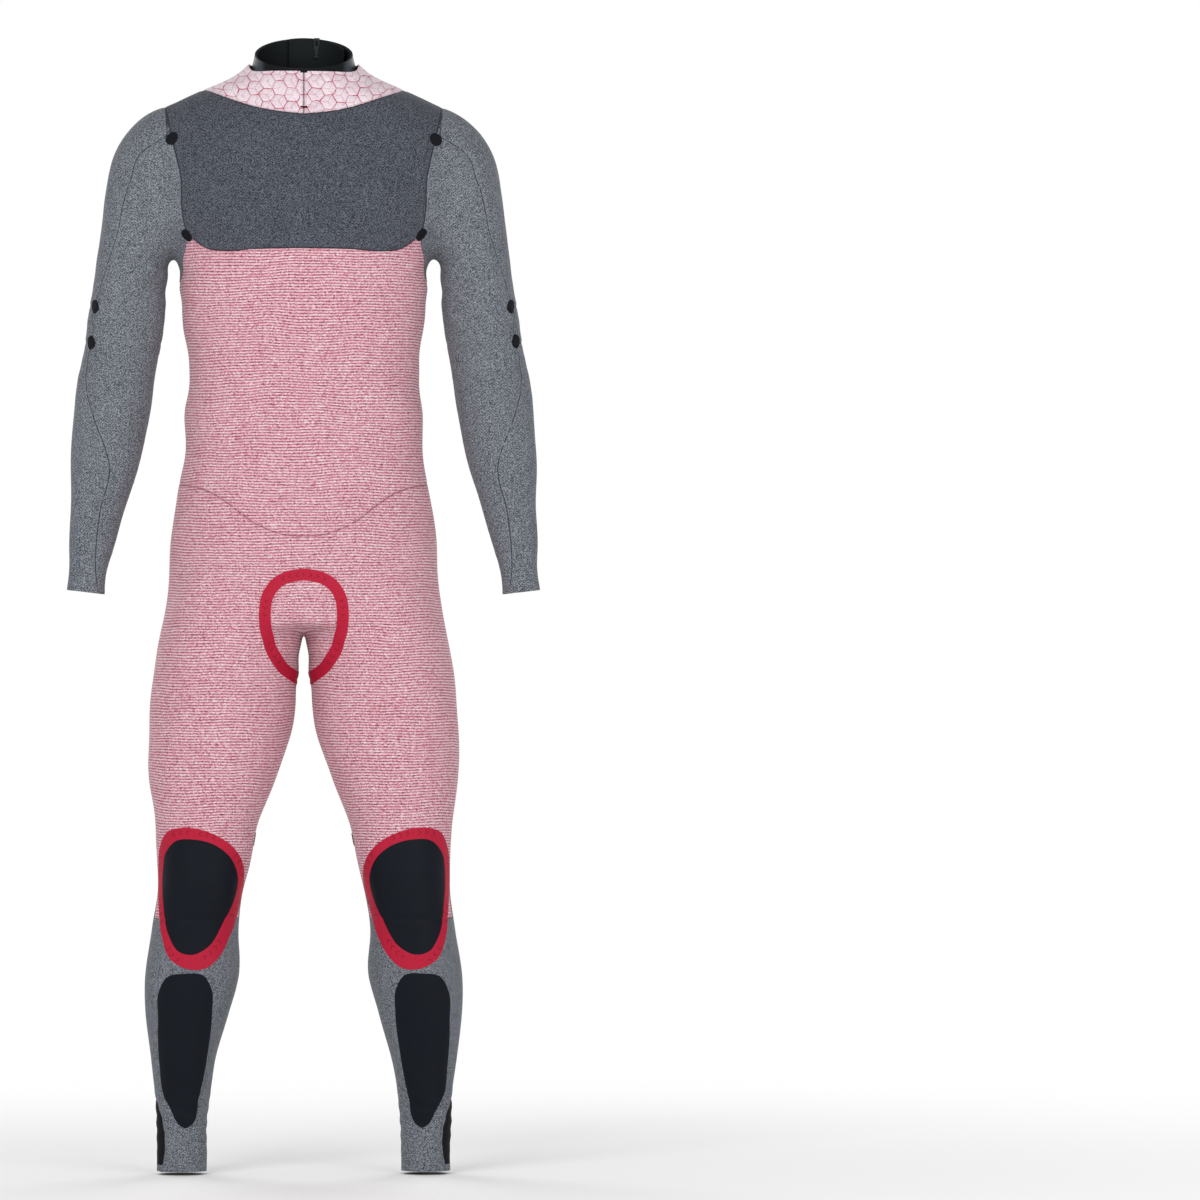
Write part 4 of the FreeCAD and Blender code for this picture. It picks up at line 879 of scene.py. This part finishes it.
def quilted_cloth():
    """Pale plush with a net of hexagons, and in each cell three lines like the edges of a cube."""
    look = Look("quilted_plush", rough=0.95, sheen=0.15, specular=0.08)
    rest = look.attribute("rest", "Vector")
    bend = look.times(look.minus(look.noise(rest, 0.05, 1.0), 0.5), 7.0)
    x, y, z = look.parts(rest)
    pitch = 17.8
    u = look.math("DIVIDE", look.add(z, bend), pitch)
    v = look.math("DIVIDE", look.minus(x, bend), pitch)
    root = math.sqrt(3)

    def cell(shift_u, shift_v):
        a = look.minus(look.math("WRAP", look.add(u, shift_u), 1.0, 0.0), 0.5)
        b = look.minus(look.math("WRAP", look.add(v, shift_v), root, 0.0), root / 2)
        size = look.add(look.times(a, a), look.times(b, b))
        return a, b, size

    a0, b0, s0 = cell(0.5, root / 2)
    a1, b1, s1 = cell(0.0, 0.0)
    pick = look.math("LESS_THAN", s1, s0)

    def chosen(p, q):
        return look.add(p, look.times(pick, look.minus(q, p)))

    a, b = chosen(a0, a1), chosen(b0, b1)
    au, bu = look.math("ABSOLUTE", a), look.math("ABSOLUTE", b)
    slant = look.add(look.times(au, 0.5), look.times(bu, root / 2))
    edge_far = look.minus(0.5, look.math("MAXIMUM", au, slant))
    wobble = look.times(look.minus(look.noise(rest, 0.5, 2.0), 0.5), 0.03)
    line = look.minus(1.0, look.step(look.add(edge_far, wobble), 0.016, 0.046))
    spokes = None
    for angle in (30, 150, 270):
        dx, dy = math.cos(math.radians(angle)), math.sin(math.radians(angle))
        across = look.math("ABSOLUTE", look.minus(look.times(a, dy), look.times(b, dx)))
        ahead = look.add(look.times(a, dx), look.times(b, dy))
        spoke = look.times(look.math("GREATER_THAN", ahead, 0.0),
                          look.minus(1.0, look.step(across, 0.014, 0.046)))
        worn = look.noise(look.scaled(rest, (1.0, 1.0, 1.0 + angle / 200)), 0.07, 1.0)
        spoke = look.times(spoke, look.step(worn, 0.38, 0.46))
        spokes = spoke if spokes is None else look.math("MAXIMUM", spokes, spoke)
    bold = look.add(look.times(look.step(y, -10.0, 25.0), 0.5), 0.42)
    faint = look.times(spokes, bold)
    fluff = look.noise(look.scaled(rest, (0.9, 0.9, 0.55)), 1.0, 2.0, 0.7)
    shade = look.noise(rest, 0.05, 2.0)
    base = look.ramp(look.add(look.times(fluff, 0.75), look.times(shade, 0.25)),
                     (0.30, rgb(182, 158, 171)), (0.46, rgb(217, 198, 207)), (0.62, rgb(236, 224, 230)))
    colour = look.mix(faint, base, rgb(178, 44, 72))
    kept = look.step(look.noise(rest, 0.06, 1.0), 0.42, 0.54)
    kept = look.add(look.times(kept, 0.36), 0.6)
    colour = look.mix(look.times(line, kept), colour, rgb(168, 32, 60))
    # The near-black colour is the yoke's black seam line, and also painted shade in the seam's crease.
    colour, relief = stitched(look, colour, rgb(206, 170, 180), rgb(18, 12, 16), 1.6)
    for height in (1392.0, 1346.0):
        tall = look.math("LESS_THAN", look.math("ABSOLUTE", look.minus(z, height)), 1.1)
        wide = look.math("LESS_THAN", look.math("ABSOLUTE", x), 4.5)
        tack = look.times(look.times(tall, wide), look.math("LESS_THAN", y, 0.0))
        colour = look.mix(tack, colour, rgb(18, 12, 16))
    pillow = look.times(look.step(edge_far, 0.0, 0.22), 2.2)
    height = look.add(pillow, look.times(fluff, 0.9))
    height = look.add(height, relief)
    return look.finish(colour, height, 0.55, 0.0008)


def tape_cloth():
    look = Look("seam_tape", rough=0.6, sheen=0.0, specular=0.15)
    run, across, _ = look.parts(look.attribute("run", "Vector"))
    rest = look.attribute("rest", "Vector")
    weave = look.noise(rest, 1.6, 1.0)
    far = look.math("ABSOLUTE", across)
    saw = look.math("WRAP", look.add(run, look.times(far, 1.1)), 9.0, 0.0)
    arrow = look.times(look.math("LESS_THAN", saw, 2.2), look.math("LESS_THAN", far, 3.0))
    batch = look.math("LESS_THAN", look.math("WRAP", run, 58.0, 0.0), 31.0)
    mark = look.times(arrow, batch)
    colour = look.ramp(weave, (0.3, rgb(156, 14, 42)), (0.7, rgb(184, 32, 60)))
    colour = look.mix(look.times(mark, 0.5), colour, rgb(96, 6, 24))
    return look.finish(colour, weave, 0.35, 0.0003)


def rubber(name, colour, rough, grain, strength):
    look = Look(name, rough=rough, specular=0.13)
    rest = look.attribute("rest", "Vector")
    speck = look.noise(rest, grain, 2.0)
    shade = look.noise(rest, 0.02, 1.0)
    base = look.mix(look.times(shade, 0.5), colour, tuple(v * 1.6 for v in colour[:3]) + (1.0,))
    return look.finish(base, speck, strength, 0.0003)


def collar_rubber():
    """Smooth rubber: behind, dark grey on the wearer's right and black on the left. The throat is
    black too."""
    look = Look("collar_rubber", rough=0.5, specular=0.13)
    rest = look.attribute("rest", "Vector")
    x, y, z = look.parts(rest)
    slope = look.add(look.times(look.minus(z, 1407.0), 0.57), 6.0)
    behind = look.math("GREATER_THAN", y, 0.0)
    lap = look.step(look.minus(x, slope), -0.4, 0.4)
    throat = look.step(look.minus(52.0, look.math("ABSOLUTE", x)), -4.0, 4.0)
    black = look.mix(behind, throat, lap)
    speck = look.noise(rest, 0.8, 2.0)
    grey = look.ramp(speck, (0.35, rgb(46, 50, 57)), (0.65, rgb(68, 72, 80)))
    return look.finish(look.mix(black, grey, rgb(17, 19, 22)), speck, 0.25, 0.0003)


def slider_metal():
    """Plated metal on the face that shows through the collar, with painted shade: dark on the side of the
    cavity.
    """
    look = Look("slider_metal", rough=0.3, metallic=1.0)
    node = look.tree.nodes.new("ShaderNodeTexCoord")
    _, y, _ = look.parts(node.outputs["Object"])
    # Painted shade: faces inside the collar wall, in the cavity, get a dark colour; faces outside it get the
    # bright plated colour.
    outer = look.step(y, 0.0630, 0.0636)
    return look.finish(look.mix(outer, rgb(52, 54, 58), rgb(214, 216, 220)))


def plain(name, colour, rough, metallic=0.0, specular=0.4):
    look = Look(name, rough=rough, metallic=metallic, specular=specular)
    node = look.tree.nodes.new("ShaderNodeTexCoord")
    speck = look.noise(node.outputs["Object"], 900.0, 2.0)
    return look.finish(colour, speck, 0.15, 0.0001)


ROSE = rose_cloth()
# In each grey, the last colour is painted shade darkening its seam crease, together with the seam's own dark
# line.
GREY = grey_cloth("grey_heather", rgb(62, 65, 71), rgb(98, 102, 109), rgb(136, 140, 147),
                  rgb(118, 122, 129), rgb(34, 36, 41), 1.3)
DARK = grey_cloth("dark_grey_heather", rgb(40, 43, 50), rgb(68, 72, 80), rgb(98, 101, 110),
                  rgb(82, 86, 95), rgb(12, 13, 16), 2.5)
QUILT = quilted_cloth()
TAPE = tape_cloth()
INSIDE = rubber("rubber_inside", rgb(20, 24, 26), 0.7, 0.8, 0.3)
PAD = rubber("pad_rubber", rgb(7, 12, 21), 0.5, 1.4, 0.5)
PATCH = rubber("black_patch", rgb(16, 17, 22), 0.75, 1.8, 0.5)
COLLAR = collar_rubber()
ZIP_TAPE = plain("zip_tape_weave", rgb(24, 25, 28), 0.85)
ZIP_PLASTIC = plain("zip_plastic", rgb(30, 31, 34), 0.5)
ZIP_METAL = slider_metal()
ZIP_DARK = plain("dark_metal", rgb(46, 48, 52), 0.4, 0.6)


def move(obj, joint):
    """Lets a torso piece ride with the torso's body; any other piece only has its transform baked into its
    mesh.
    """
    if joint == "torso":
        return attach(obj, "torso")
    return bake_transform(obj)


PANELS = {  # panel: its material, record slot, joint and CAD nodes
    "chest_panel": (DARK, "dark_grey_lining", "torso", ["chest_panel"]),
    "front_torso_panel": (ROSE, "rose_lining", "torso", ["front_torso_panel"]),
    "back_panel": (QUILT, "plush_lining", "torso", ["back_panel"]),
    "shoulder_blade_patches": (ROSE, "rose_lining", "torso", ["shoulder_blade_patches"]),
    "hip_panel": (ROSE, "rose_lining", "torso", ["hip_panel"]),
    "seat_panel": (ROSE, "rose_lining", "torso", ["seat_panel"]),
}
for side in ("left", "right"):
    PANELS.update({
        f"{side}_neck_yoke": (QUILT, "plush_lining", "torso", [f"{side}_neck_yoke"]),
        f"{side}_underarm_gusset": (GREY, "grey_lining", "torso", [f"{side}_underarm_gusset"]),
        f"{side}_crotch": (ROSE, "rose_lining", "hip", ["crotch_gusset"] if side == "left" else []),
        f"{side}_upper_sleeve_outer": (GREY, "grey_lining", "shoulder",
                                       [f"{side}_shoulder_panel", f"{side}_upper_sleeve_outer_panel"]),
        f"{side}_upper_sleeve_inner": (GREY, "grey_lining", "shoulder",
                                       [f"{side}_upper_sleeve_inner_panel"]),
        f"{side}_elbow_patch": (GREY, "grey_lining", "elbow", [f"{side}_elbow_patch"]),
        f"{side}_forearm_inner": (GREY, "grey_lining", "elbow",
                                  [f"{side}_elbow_bend_panel", f"{side}_forearm_inner_panel"]),
        f"{side}_forearm_outer": (GREY, "grey_lining", "elbow", [f"{side}_forearm_outer_panel"]),
        f"{side}_wrist_cuff": (GREY, "grey_lining", "elbow", [f"{side}_wrist_cuff"]),
        f"{side}_hip_bend_panel": (ROSE, "rose_lining", "hip", [f"{side}_hip_bend_panel"]),
        f"{side}_thigh_panel": (ROSE, "rose_lining", "knee",
                                [f"{side}_thigh_panel", f"{side}_knee_bend_panel"]),
        f"{side}_calf_panel": (GREY, "grey_lining", "knee", [f"{side}_calf_panel"]),
        f"{side}_ankle_gusset": (PATCH, "black_patch", "knee", [f"{side}_ankle_gusset"]),
        f"{side}_ankle_cuff": (GREY, "grey_lining", "knee", [f"{side}_ankle_cuff"]),
    })
for name, (material, slot, joint, nodes) in PANELS.items():
    obj = shell(name + "_cloth", tri[panel == name], 0.0, WALL, [material, INSIDE])
    if nodes:
        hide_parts(*nodes)
    move(obj, joint)


# ------------------------------------------------------------------ tapes and pads
def following(line):
    """Distance along and across a line of points (|x|, z), for each point of a tape."""
    line = np.asarray(line, float)
    run = np.concatenate([[0], np.cumsum(np.linalg.norm(np.diff(line, axis=0), axis=1))])

    def values(p):
        q = np.stack([np.abs(p[:, 0]), p[:, 2]], 1)
        best = np.full(len(q), 1e9)
        out = np.zeros((len(q), 3))
        for i, (a, b) in enumerate(zip(line[:-1], line[1:])):
            d = b - a
            t = np.clip(((q - a) @ d) / (d @ d), 0, 1)
            off = q - a - t[:, None] * d
            far = np.linalg.norm(off, axis=1)
            hit = far < best
            best[hit] = far[hit]
            out[hit, 0] = (run[i] + t * np.linalg.norm(d))[hit]
            out[hit, 1] = (far * np.sign(d[0] * off[:, 1] - d[1] * off[:, 0]))[hit]
        return out

    return values


x, y, z = np.abs(centre[:, 0]), centre[:, 1] - middle_y(centre), centre[:, 2]
part = parts_of(centre)
right_side = centre[:, 0] < 0


def overlay(name, mask, lift, deep, material, joint, nodes, extra=None):
    if not mask.any():
        raise RuntimeError(f"{name} has no triangles")
    obj = shell(name, tri[mask], lift, deep, [material], extra)
    if nodes:
        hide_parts(*nodes)
    move(obj, joint)
    return obj


def tape(name, mask, joint, nodes, line):
    """A seam tape over the chosen triangles, with its pattern running along a line."""
    return overlay(name, mask, TAPE_LIFT, TAPE_THICK, TAPE, joint, nodes, following(line))


pad_ring = dense(KNEE_PAD, closed=True)
middle_of_ring = np.array(pad_ring).mean(0)
ring_line = middle_of_ring + (pad_ring - middle_of_ring) * 1.12
near_back_tape = tape_far(centre) < BACK_TAPE_HALF
band = (y > 0) & (part == 0) & (z < 1275) & near_back_tape
tape("back_tape_pair", band, "torso", ["back_seam_tapes"], TAPE_LINE)
waist_band = (y > 0) & (part == 0) & (lumbar_far(centre) < LUMBAR_TAPE_HALF) & ~band
tape("lumbar_tape", waist_band, "torso", ["lumbar_seam_tape"], LUMBAR_LINE)
for side, other in (("left", ~right_side), ("right", right_side)):
    tape_end = other & (y > 0) & (part == 1) & (z > 1225) & near_back_tape
    tape(f"{side}_back_tape_end", tape_end, "shoulder", [], TAPE_LINE)
    fork = other & (y < 0) & (crotch_far(centre) < CROTCH_TAPE_HALF) & (x < 70) & (z > 610)
    tape(f"{side}_crotch_tape", fork, "hip", ["crotch_seam_tape"] if side == "left" else [], CROTCH_LINE)
    inside = pad_field(centre)
    front_leg = other & (y < 0) & (part == 2)
    knee_band = front_leg & (inside > 0) & (ring_field(centre) < 0)
    tape(f"{side}_knee_tape", knee_band, "knee", [f"{side}_knee_seam_tape"], ring_line)
    overlay(f"{side}_knee_pad_skin", front_leg & (inside < 0),
            lambda p: 0.5 + 1.1 * smooth(0, 5, -pad_field(p)), 1.2, PAD, "knee",
            [f"{side}_knee_pad"])
    overlay(f"{side}_shin_pad_skin", front_leg & (shin_field(centre) < 0),
            lambda p: 0.5 + 1.0 * smooth(0, 5, -shin_field(p)), 1.2, PAD, "knee",
            [f"{side}_shin_pad"])

ZIP_LOOKS = {
    "zip_tapes": ZIP_TAPE,
    "left_zip_teeth": ZIP_PLASTIC,
    "right_zip_teeth": ZIP_PLASTIC,
    "zip_bottom_stop": ZIP_PLASTIC,
    "zip_slider": ZIP_METAL,
    "zip_puller": ZIP_DARK,
}
for node, material in ZIP_LOOKS.items():
    bpy.data.objects[node].data.materials.clear()
    bpy.data.objects[node].data.materials.append(material)


# ------------------------------------------------------------------ collar
COLLAR_HEIGHTS = [1386, 1398, 1412, 1426, 1445]
COLLAR_HALF_WIDTHS = [74, 67.5, 63.5, 61, 59.5]
COLLAR_HALF_DEPTHS = [70, 65.5, 61.5, 59.5, 58]


def collar_piece(name, first, last, material, inset=0.0):
    """Part of the collar's ring. first and last give its two edges as angles at each height."""
    heights = np.concatenate([np.linspace(0, 0.72, 9), np.linspace(0.74, 0.80, 4), np.linspace(0.84, 1, 5)])
    steps = 150
    grid = []
    for h in heights:
        guess_z = 1386 + h * 52
        a0, a1 = first(guess_z), last(guess_z)
        row = []
        for i in range(steps + 1):
            t = a0 + (a1 - a0) * i / steps
            s = math.sin(t)
            rim = 1397 + 46 * (s + 1) / 2
            zz = 1386 + h * (rim - 1386)
            wide = np.interp(zz, COLLAR_HEIGHTS, COLLAR_HALF_WIDTHS) - inset
            deep = np.interp(zz, COLLAR_HEIGHTS, COLLAR_HALF_DEPTHS) - inset
            row.append((wide * math.cos(t), 9 + deep * s, zz, math.cos(t) / wide, s / deep))
        grid.append(row)
    grid = np.array(grid)
    rows, cols = grid.shape[:2]
    flat = grid.reshape(-1, 5)
    normal = np.stack([flat[:, 3], flat[:, 4], np.full(len(flat), 0.003)], 1)
    normal /= np.linalg.norm(normal, axis=1, keepdims=True)
    outer, inner = flat[:, :3], flat[:, :3] - normal * (1.2 if inset else 3.0)
    n = len(outer)
    faces, kinds = [], []

    def at(i, j):
        return i * cols + j

    for i in range(rows - 1):
        for j in range(cols - 1):
            q = (at(i, j), at(i, j + 1), at(i + 1, j + 1), at(i + 1, j))
            faces.append(q)
            faces.append(tuple(n + k for k in q[::-1]))
            kinds += [0, 1]
    rim = [(at(0, j), at(0, j + 1)) for j in range(cols - 1)]
    rim += [(at(rows - 1, j + 1), at(rows - 1, j)) for j in range(cols - 1)]
    rim += [(at(i + 1, 0), at(i, 0)) for i in range(rows - 1)]
    rim += [(at(i, cols - 1), at(i + 1, cols - 1)) for i in range(rows - 1)]
    for a, b in rim:
        faces.append((b, a, n + a, n + b))
        kinds.append(1)
    mesh = bpy.data.meshes.new(name)
    mesh.from_pydata([tuple(p) for p in to_row(np.vstack([outer, inner]))], [], faces)
    mesh.materials.append(material)
    mesh.materials.append(INSIDE)
    mesh.polygons.foreach_set("material_index", kinds)
    mesh.polygons.foreach_set("use_smooth", [k < 2 * (rows - 1) * (cols - 1) for k in range(len(faces))])
    set_attribute(mesh, "rest", "FLOAT_VECTOR", np.vstack([outer, inner]))
    obj = bpy.data.objects.new(name, mesh)
    bpy.context.collection.objects.link(obj)
    return obj


def angle_at(x, zz):
    wide = np.interp(zz, COLLAR_HEIGHTS, COLLAR_HALF_WIDTHS)
    return math.acos(max(-1, min(1, x / wide)))


def lap_edge(zz):
    return 5 + 24 * float(smooth(1424, 1428, zz)) + 14 * float(smooth(1428, 1440, zz))


def tab_edge(zz):
    return 28 + 15 * float(smooth(1427, 1440, zz))


collar = collar_piece("collar_ring", lambda zz: angle_at(lap_edge(zz), zz), lambda zz: 2 * math.pi, COLLAR)
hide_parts("collar")
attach(collar, "torso")
flap = collar_piece("collar_flap", lambda zz: angle_at(58, zz), lambda zz: angle_at(-22, zz), INSIDE, 8.0)
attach(flap, "torso")
tab = collar_piece("closure_tab", lambda zz: 0.0, lambda zz: angle_at(tab_edge(zz), zz), PATCH)
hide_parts("collar_closure_tab")
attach(tab, "torso")


# ------------------------------------------------------------------ dots
def skin_spot(x, z, front):
    """The skin's vertex nearest to a spot of the front or back view."""
    facing = NORMAL[:, 1] < 0 if front else NORMAL[:, 1] > 0
    far = np.hypot(REST[:, 0] - x, REST[:, 2] - z) + np.where(facing, 0, 1e6)
    return int(np.argmin(far))


def dot(x, z, front, radius=8.5):
    """A round patch that lies on the skin: its points and faces."""
    i = skin_spot(x, z, front)
    used = np.unique(tri[np.linalg.norm(centre - REST[i], axis=1) < radius + 14])
    middle = co[i]
    up = NORMAL[i]
    side = np.cross(up, [0, 0, 1.0])
    side /= np.linalg.norm(side)
    top = np.cross(side, up)
    rings = [(0.0, 1.0), (0.6, 1.0), (0.9, 0.95), (1.0, 0.72), (1.03, -0.4)]
    points, faces = [], []
    count = 40
    tree = KDTree(len(used))
    for k, v in enumerate(used):
        tree.insert(co[v], k)
    tree.balance()
    for share, rise in rings:
        for k in range(count):
            t = 2 * math.pi * k / count
            p = middle + (side * math.cos(t) + top * math.sin(t)) * radius * share
            total, weight = 0.0, 0.0
            for _, index, far in tree.find_n(p, 5):
                v = used[index]
                w = 1 / (far + 0.5) ** 2
                total += ((co[v] - p) @ up) * w
                weight += w
            points.append(p + up * (total / weight + 0.2 + rise))
    for r in range(len(rings) - 1):
        for k in range(count):
            m = (k + 1) % count
            faces.append((r * count + k, (r + 1) * count + k, (r + 1) * count + m, r * count + m))
    faces.append(tuple(range((len(rings) - 1) * count, len(rings) * count))[::-1])
    return np.array(points), faces


def dot_group(name, places, joint, nodes):
    points, faces, base = [], [], 0
    for x, z, front in places:
        p, f = dot(x, z, front)
        points.append(p)
        faces += [tuple(base + k for k in q) for q in f]
        base += len(p)
    points = np.vstack(points)
    mesh = bpy.data.meshes.new(name)
    mesh.from_pydata([tuple(p) for p in to_row(points)], [], faces)
    mesh.materials.append(PATCH)
    mesh.polygons.foreach_set("use_smooth", [True] * len(faces))
    set_attribute(mesh, "rest", "FLOAT_VECTOR", points)
    bm = bmesh.new()
    bm.from_mesh(mesh)
    bmesh.ops.remove_doubles(bm, verts=bm.verts, dist=1e-5)
    bmesh.ops.recalc_face_normals(bm, faces=bm.faces)
    bm.to_mesh(mesh)
    bm.free()
    obj = bpy.data.objects.new(name, mesh)
    bpy.context.collection.objects.link(obj)
    if nodes:
        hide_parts(*nodes)
    move(obj, joint)


torso_dots = [(s * x, z, front) for s in (1, -1) for x, z, front in
              ((166, 1306, True), (147, 1185, True), (157, 1329, False))]
dot_group("torso_dots", torso_dots, "torso", ["seam_dots"])
for side, s in (("left", 1), ("right", -1)):
    dot_group(f"{side}_elbow_dots", [(s * 263, 1096, True), (s * 269, 1052, True)], "elbow", [])
    dot_group(f"{side}_knee_dot", [(s * 58, 418, True)], "knee", [])

# ------------------------------------------------------------------ room, light and camera
floor_mesh = bpy.data.meshes.new("floor")
floor_mesh.from_pydata([(-30, -30, 0), (30, -30, 0), (30, 30, 0), (-30, 30, 0)], [], [(0, 1, 2, 3)])
floor = bpy.data.objects.new("floor", floor_mesh)
floor.location.z = -HANGER / 1000 - 0.004
floor_look = Look("floor_white", rough=0.8, specular=0.05)
place = floor_look.tree.nodes.new("ShaderNodeTexCoord")
across, along, _ = floor_look.parts(place.outputs["Object"])
far_squared = floor_look.add(floor_look.times(across, across), floor_look.times(along, along))
far_off = floor_look.math("SQRT", far_squared)
fade = floor_look.step(far_off, 0.35, 2.2)
floor_made = floor_look.finish((0.93, 0.93, 0.93, 1))
glow = floor_look.tree.nodes.new("ShaderNodeEmission")
glow.inputs[0].default_value = (1, 1, 1, 1)
join = floor_look.tree.nodes.new("ShaderNodeMixShader")
floor_look.tree.links.new(fade, join.inputs[0])
floor_look.tree.links.new(floor_look.bsdf.outputs[0], join.inputs[1])
floor_look.tree.links.new(glow.outputs[0], join.inputs[2])
out = next(n for n in floor_look.tree.nodes if n.type == "OUTPUT_MATERIAL")
floor_look.tree.links.new(join.outputs[0], out.inputs[0])
floor_mesh.materials.append(floor_made)
bpy.context.collection.objects.link(floor)

world = bpy.data.worlds.new("studio")
bpy.context.scene.world = world
world.use_nodes = True
sky = world.node_tree.nodes["Background"]
sky.inputs[0].default_value = (1, 1, 1, 1)
seen = world.node_tree.nodes.new("ShaderNodeLightPath")
bright = world.node_tree.nodes.new("ShaderNodeMapRange")
bright.inputs["To Min"].default_value = 0.46
bright.inputs["To Max"].default_value = 1.0
world.node_tree.links.new(seen.outputs["Is Camera Ray"], bright.inputs["Value"])
world.node_tree.links.new(bright.outputs[0], sky.inputs[1])
bpy.context.scene.view_settings.view_transform = "Standard"


def lamp(name, place, aim, size, power):
    data = bpy.data.lights.new(name, "AREA")
    data.shape = "SQUARE"
    data.size = size
    data.energy = power
    obj = bpy.data.objects.new(name, data)
    obj.location = place
    obj.rotation_euler = (Vector(aim) - Vector(place)).to_track_quat("-Z", "Y").to_euler()
    bpy.context.collection.objects.link(obj)


lamp("key", (-1.9, -4.2, 1.3), (0, 0, -0.7), 2.4, 105)
lamp("fill", (2.1, -4.0, 0.2), (0, 0, -0.7), 2.6, 62)
lamp("back_left", (-2.0, 3.8, 1.2), (0, 0, -0.6), 2.4, 62)
lamp("back_right", (2.0, 4.0, 0.8), (0, 0, -0.6), 2.4, 60)

camera_data = bpy.data.cameras.new("camera")
camera_data.sensor_width = 36
camera_data.lens = 236
camera = bpy.data.objects.new("camera", camera_data)
camera.location = (0, -10, -0.675)
camera.rotation_euler = (Vector((0.3765, 0, -0.675)) - camera.location).to_track_quat("-Z", "Y").to_euler()
bpy.context.collection.objects.link(camera)
bpy.context.scene.camera = camera
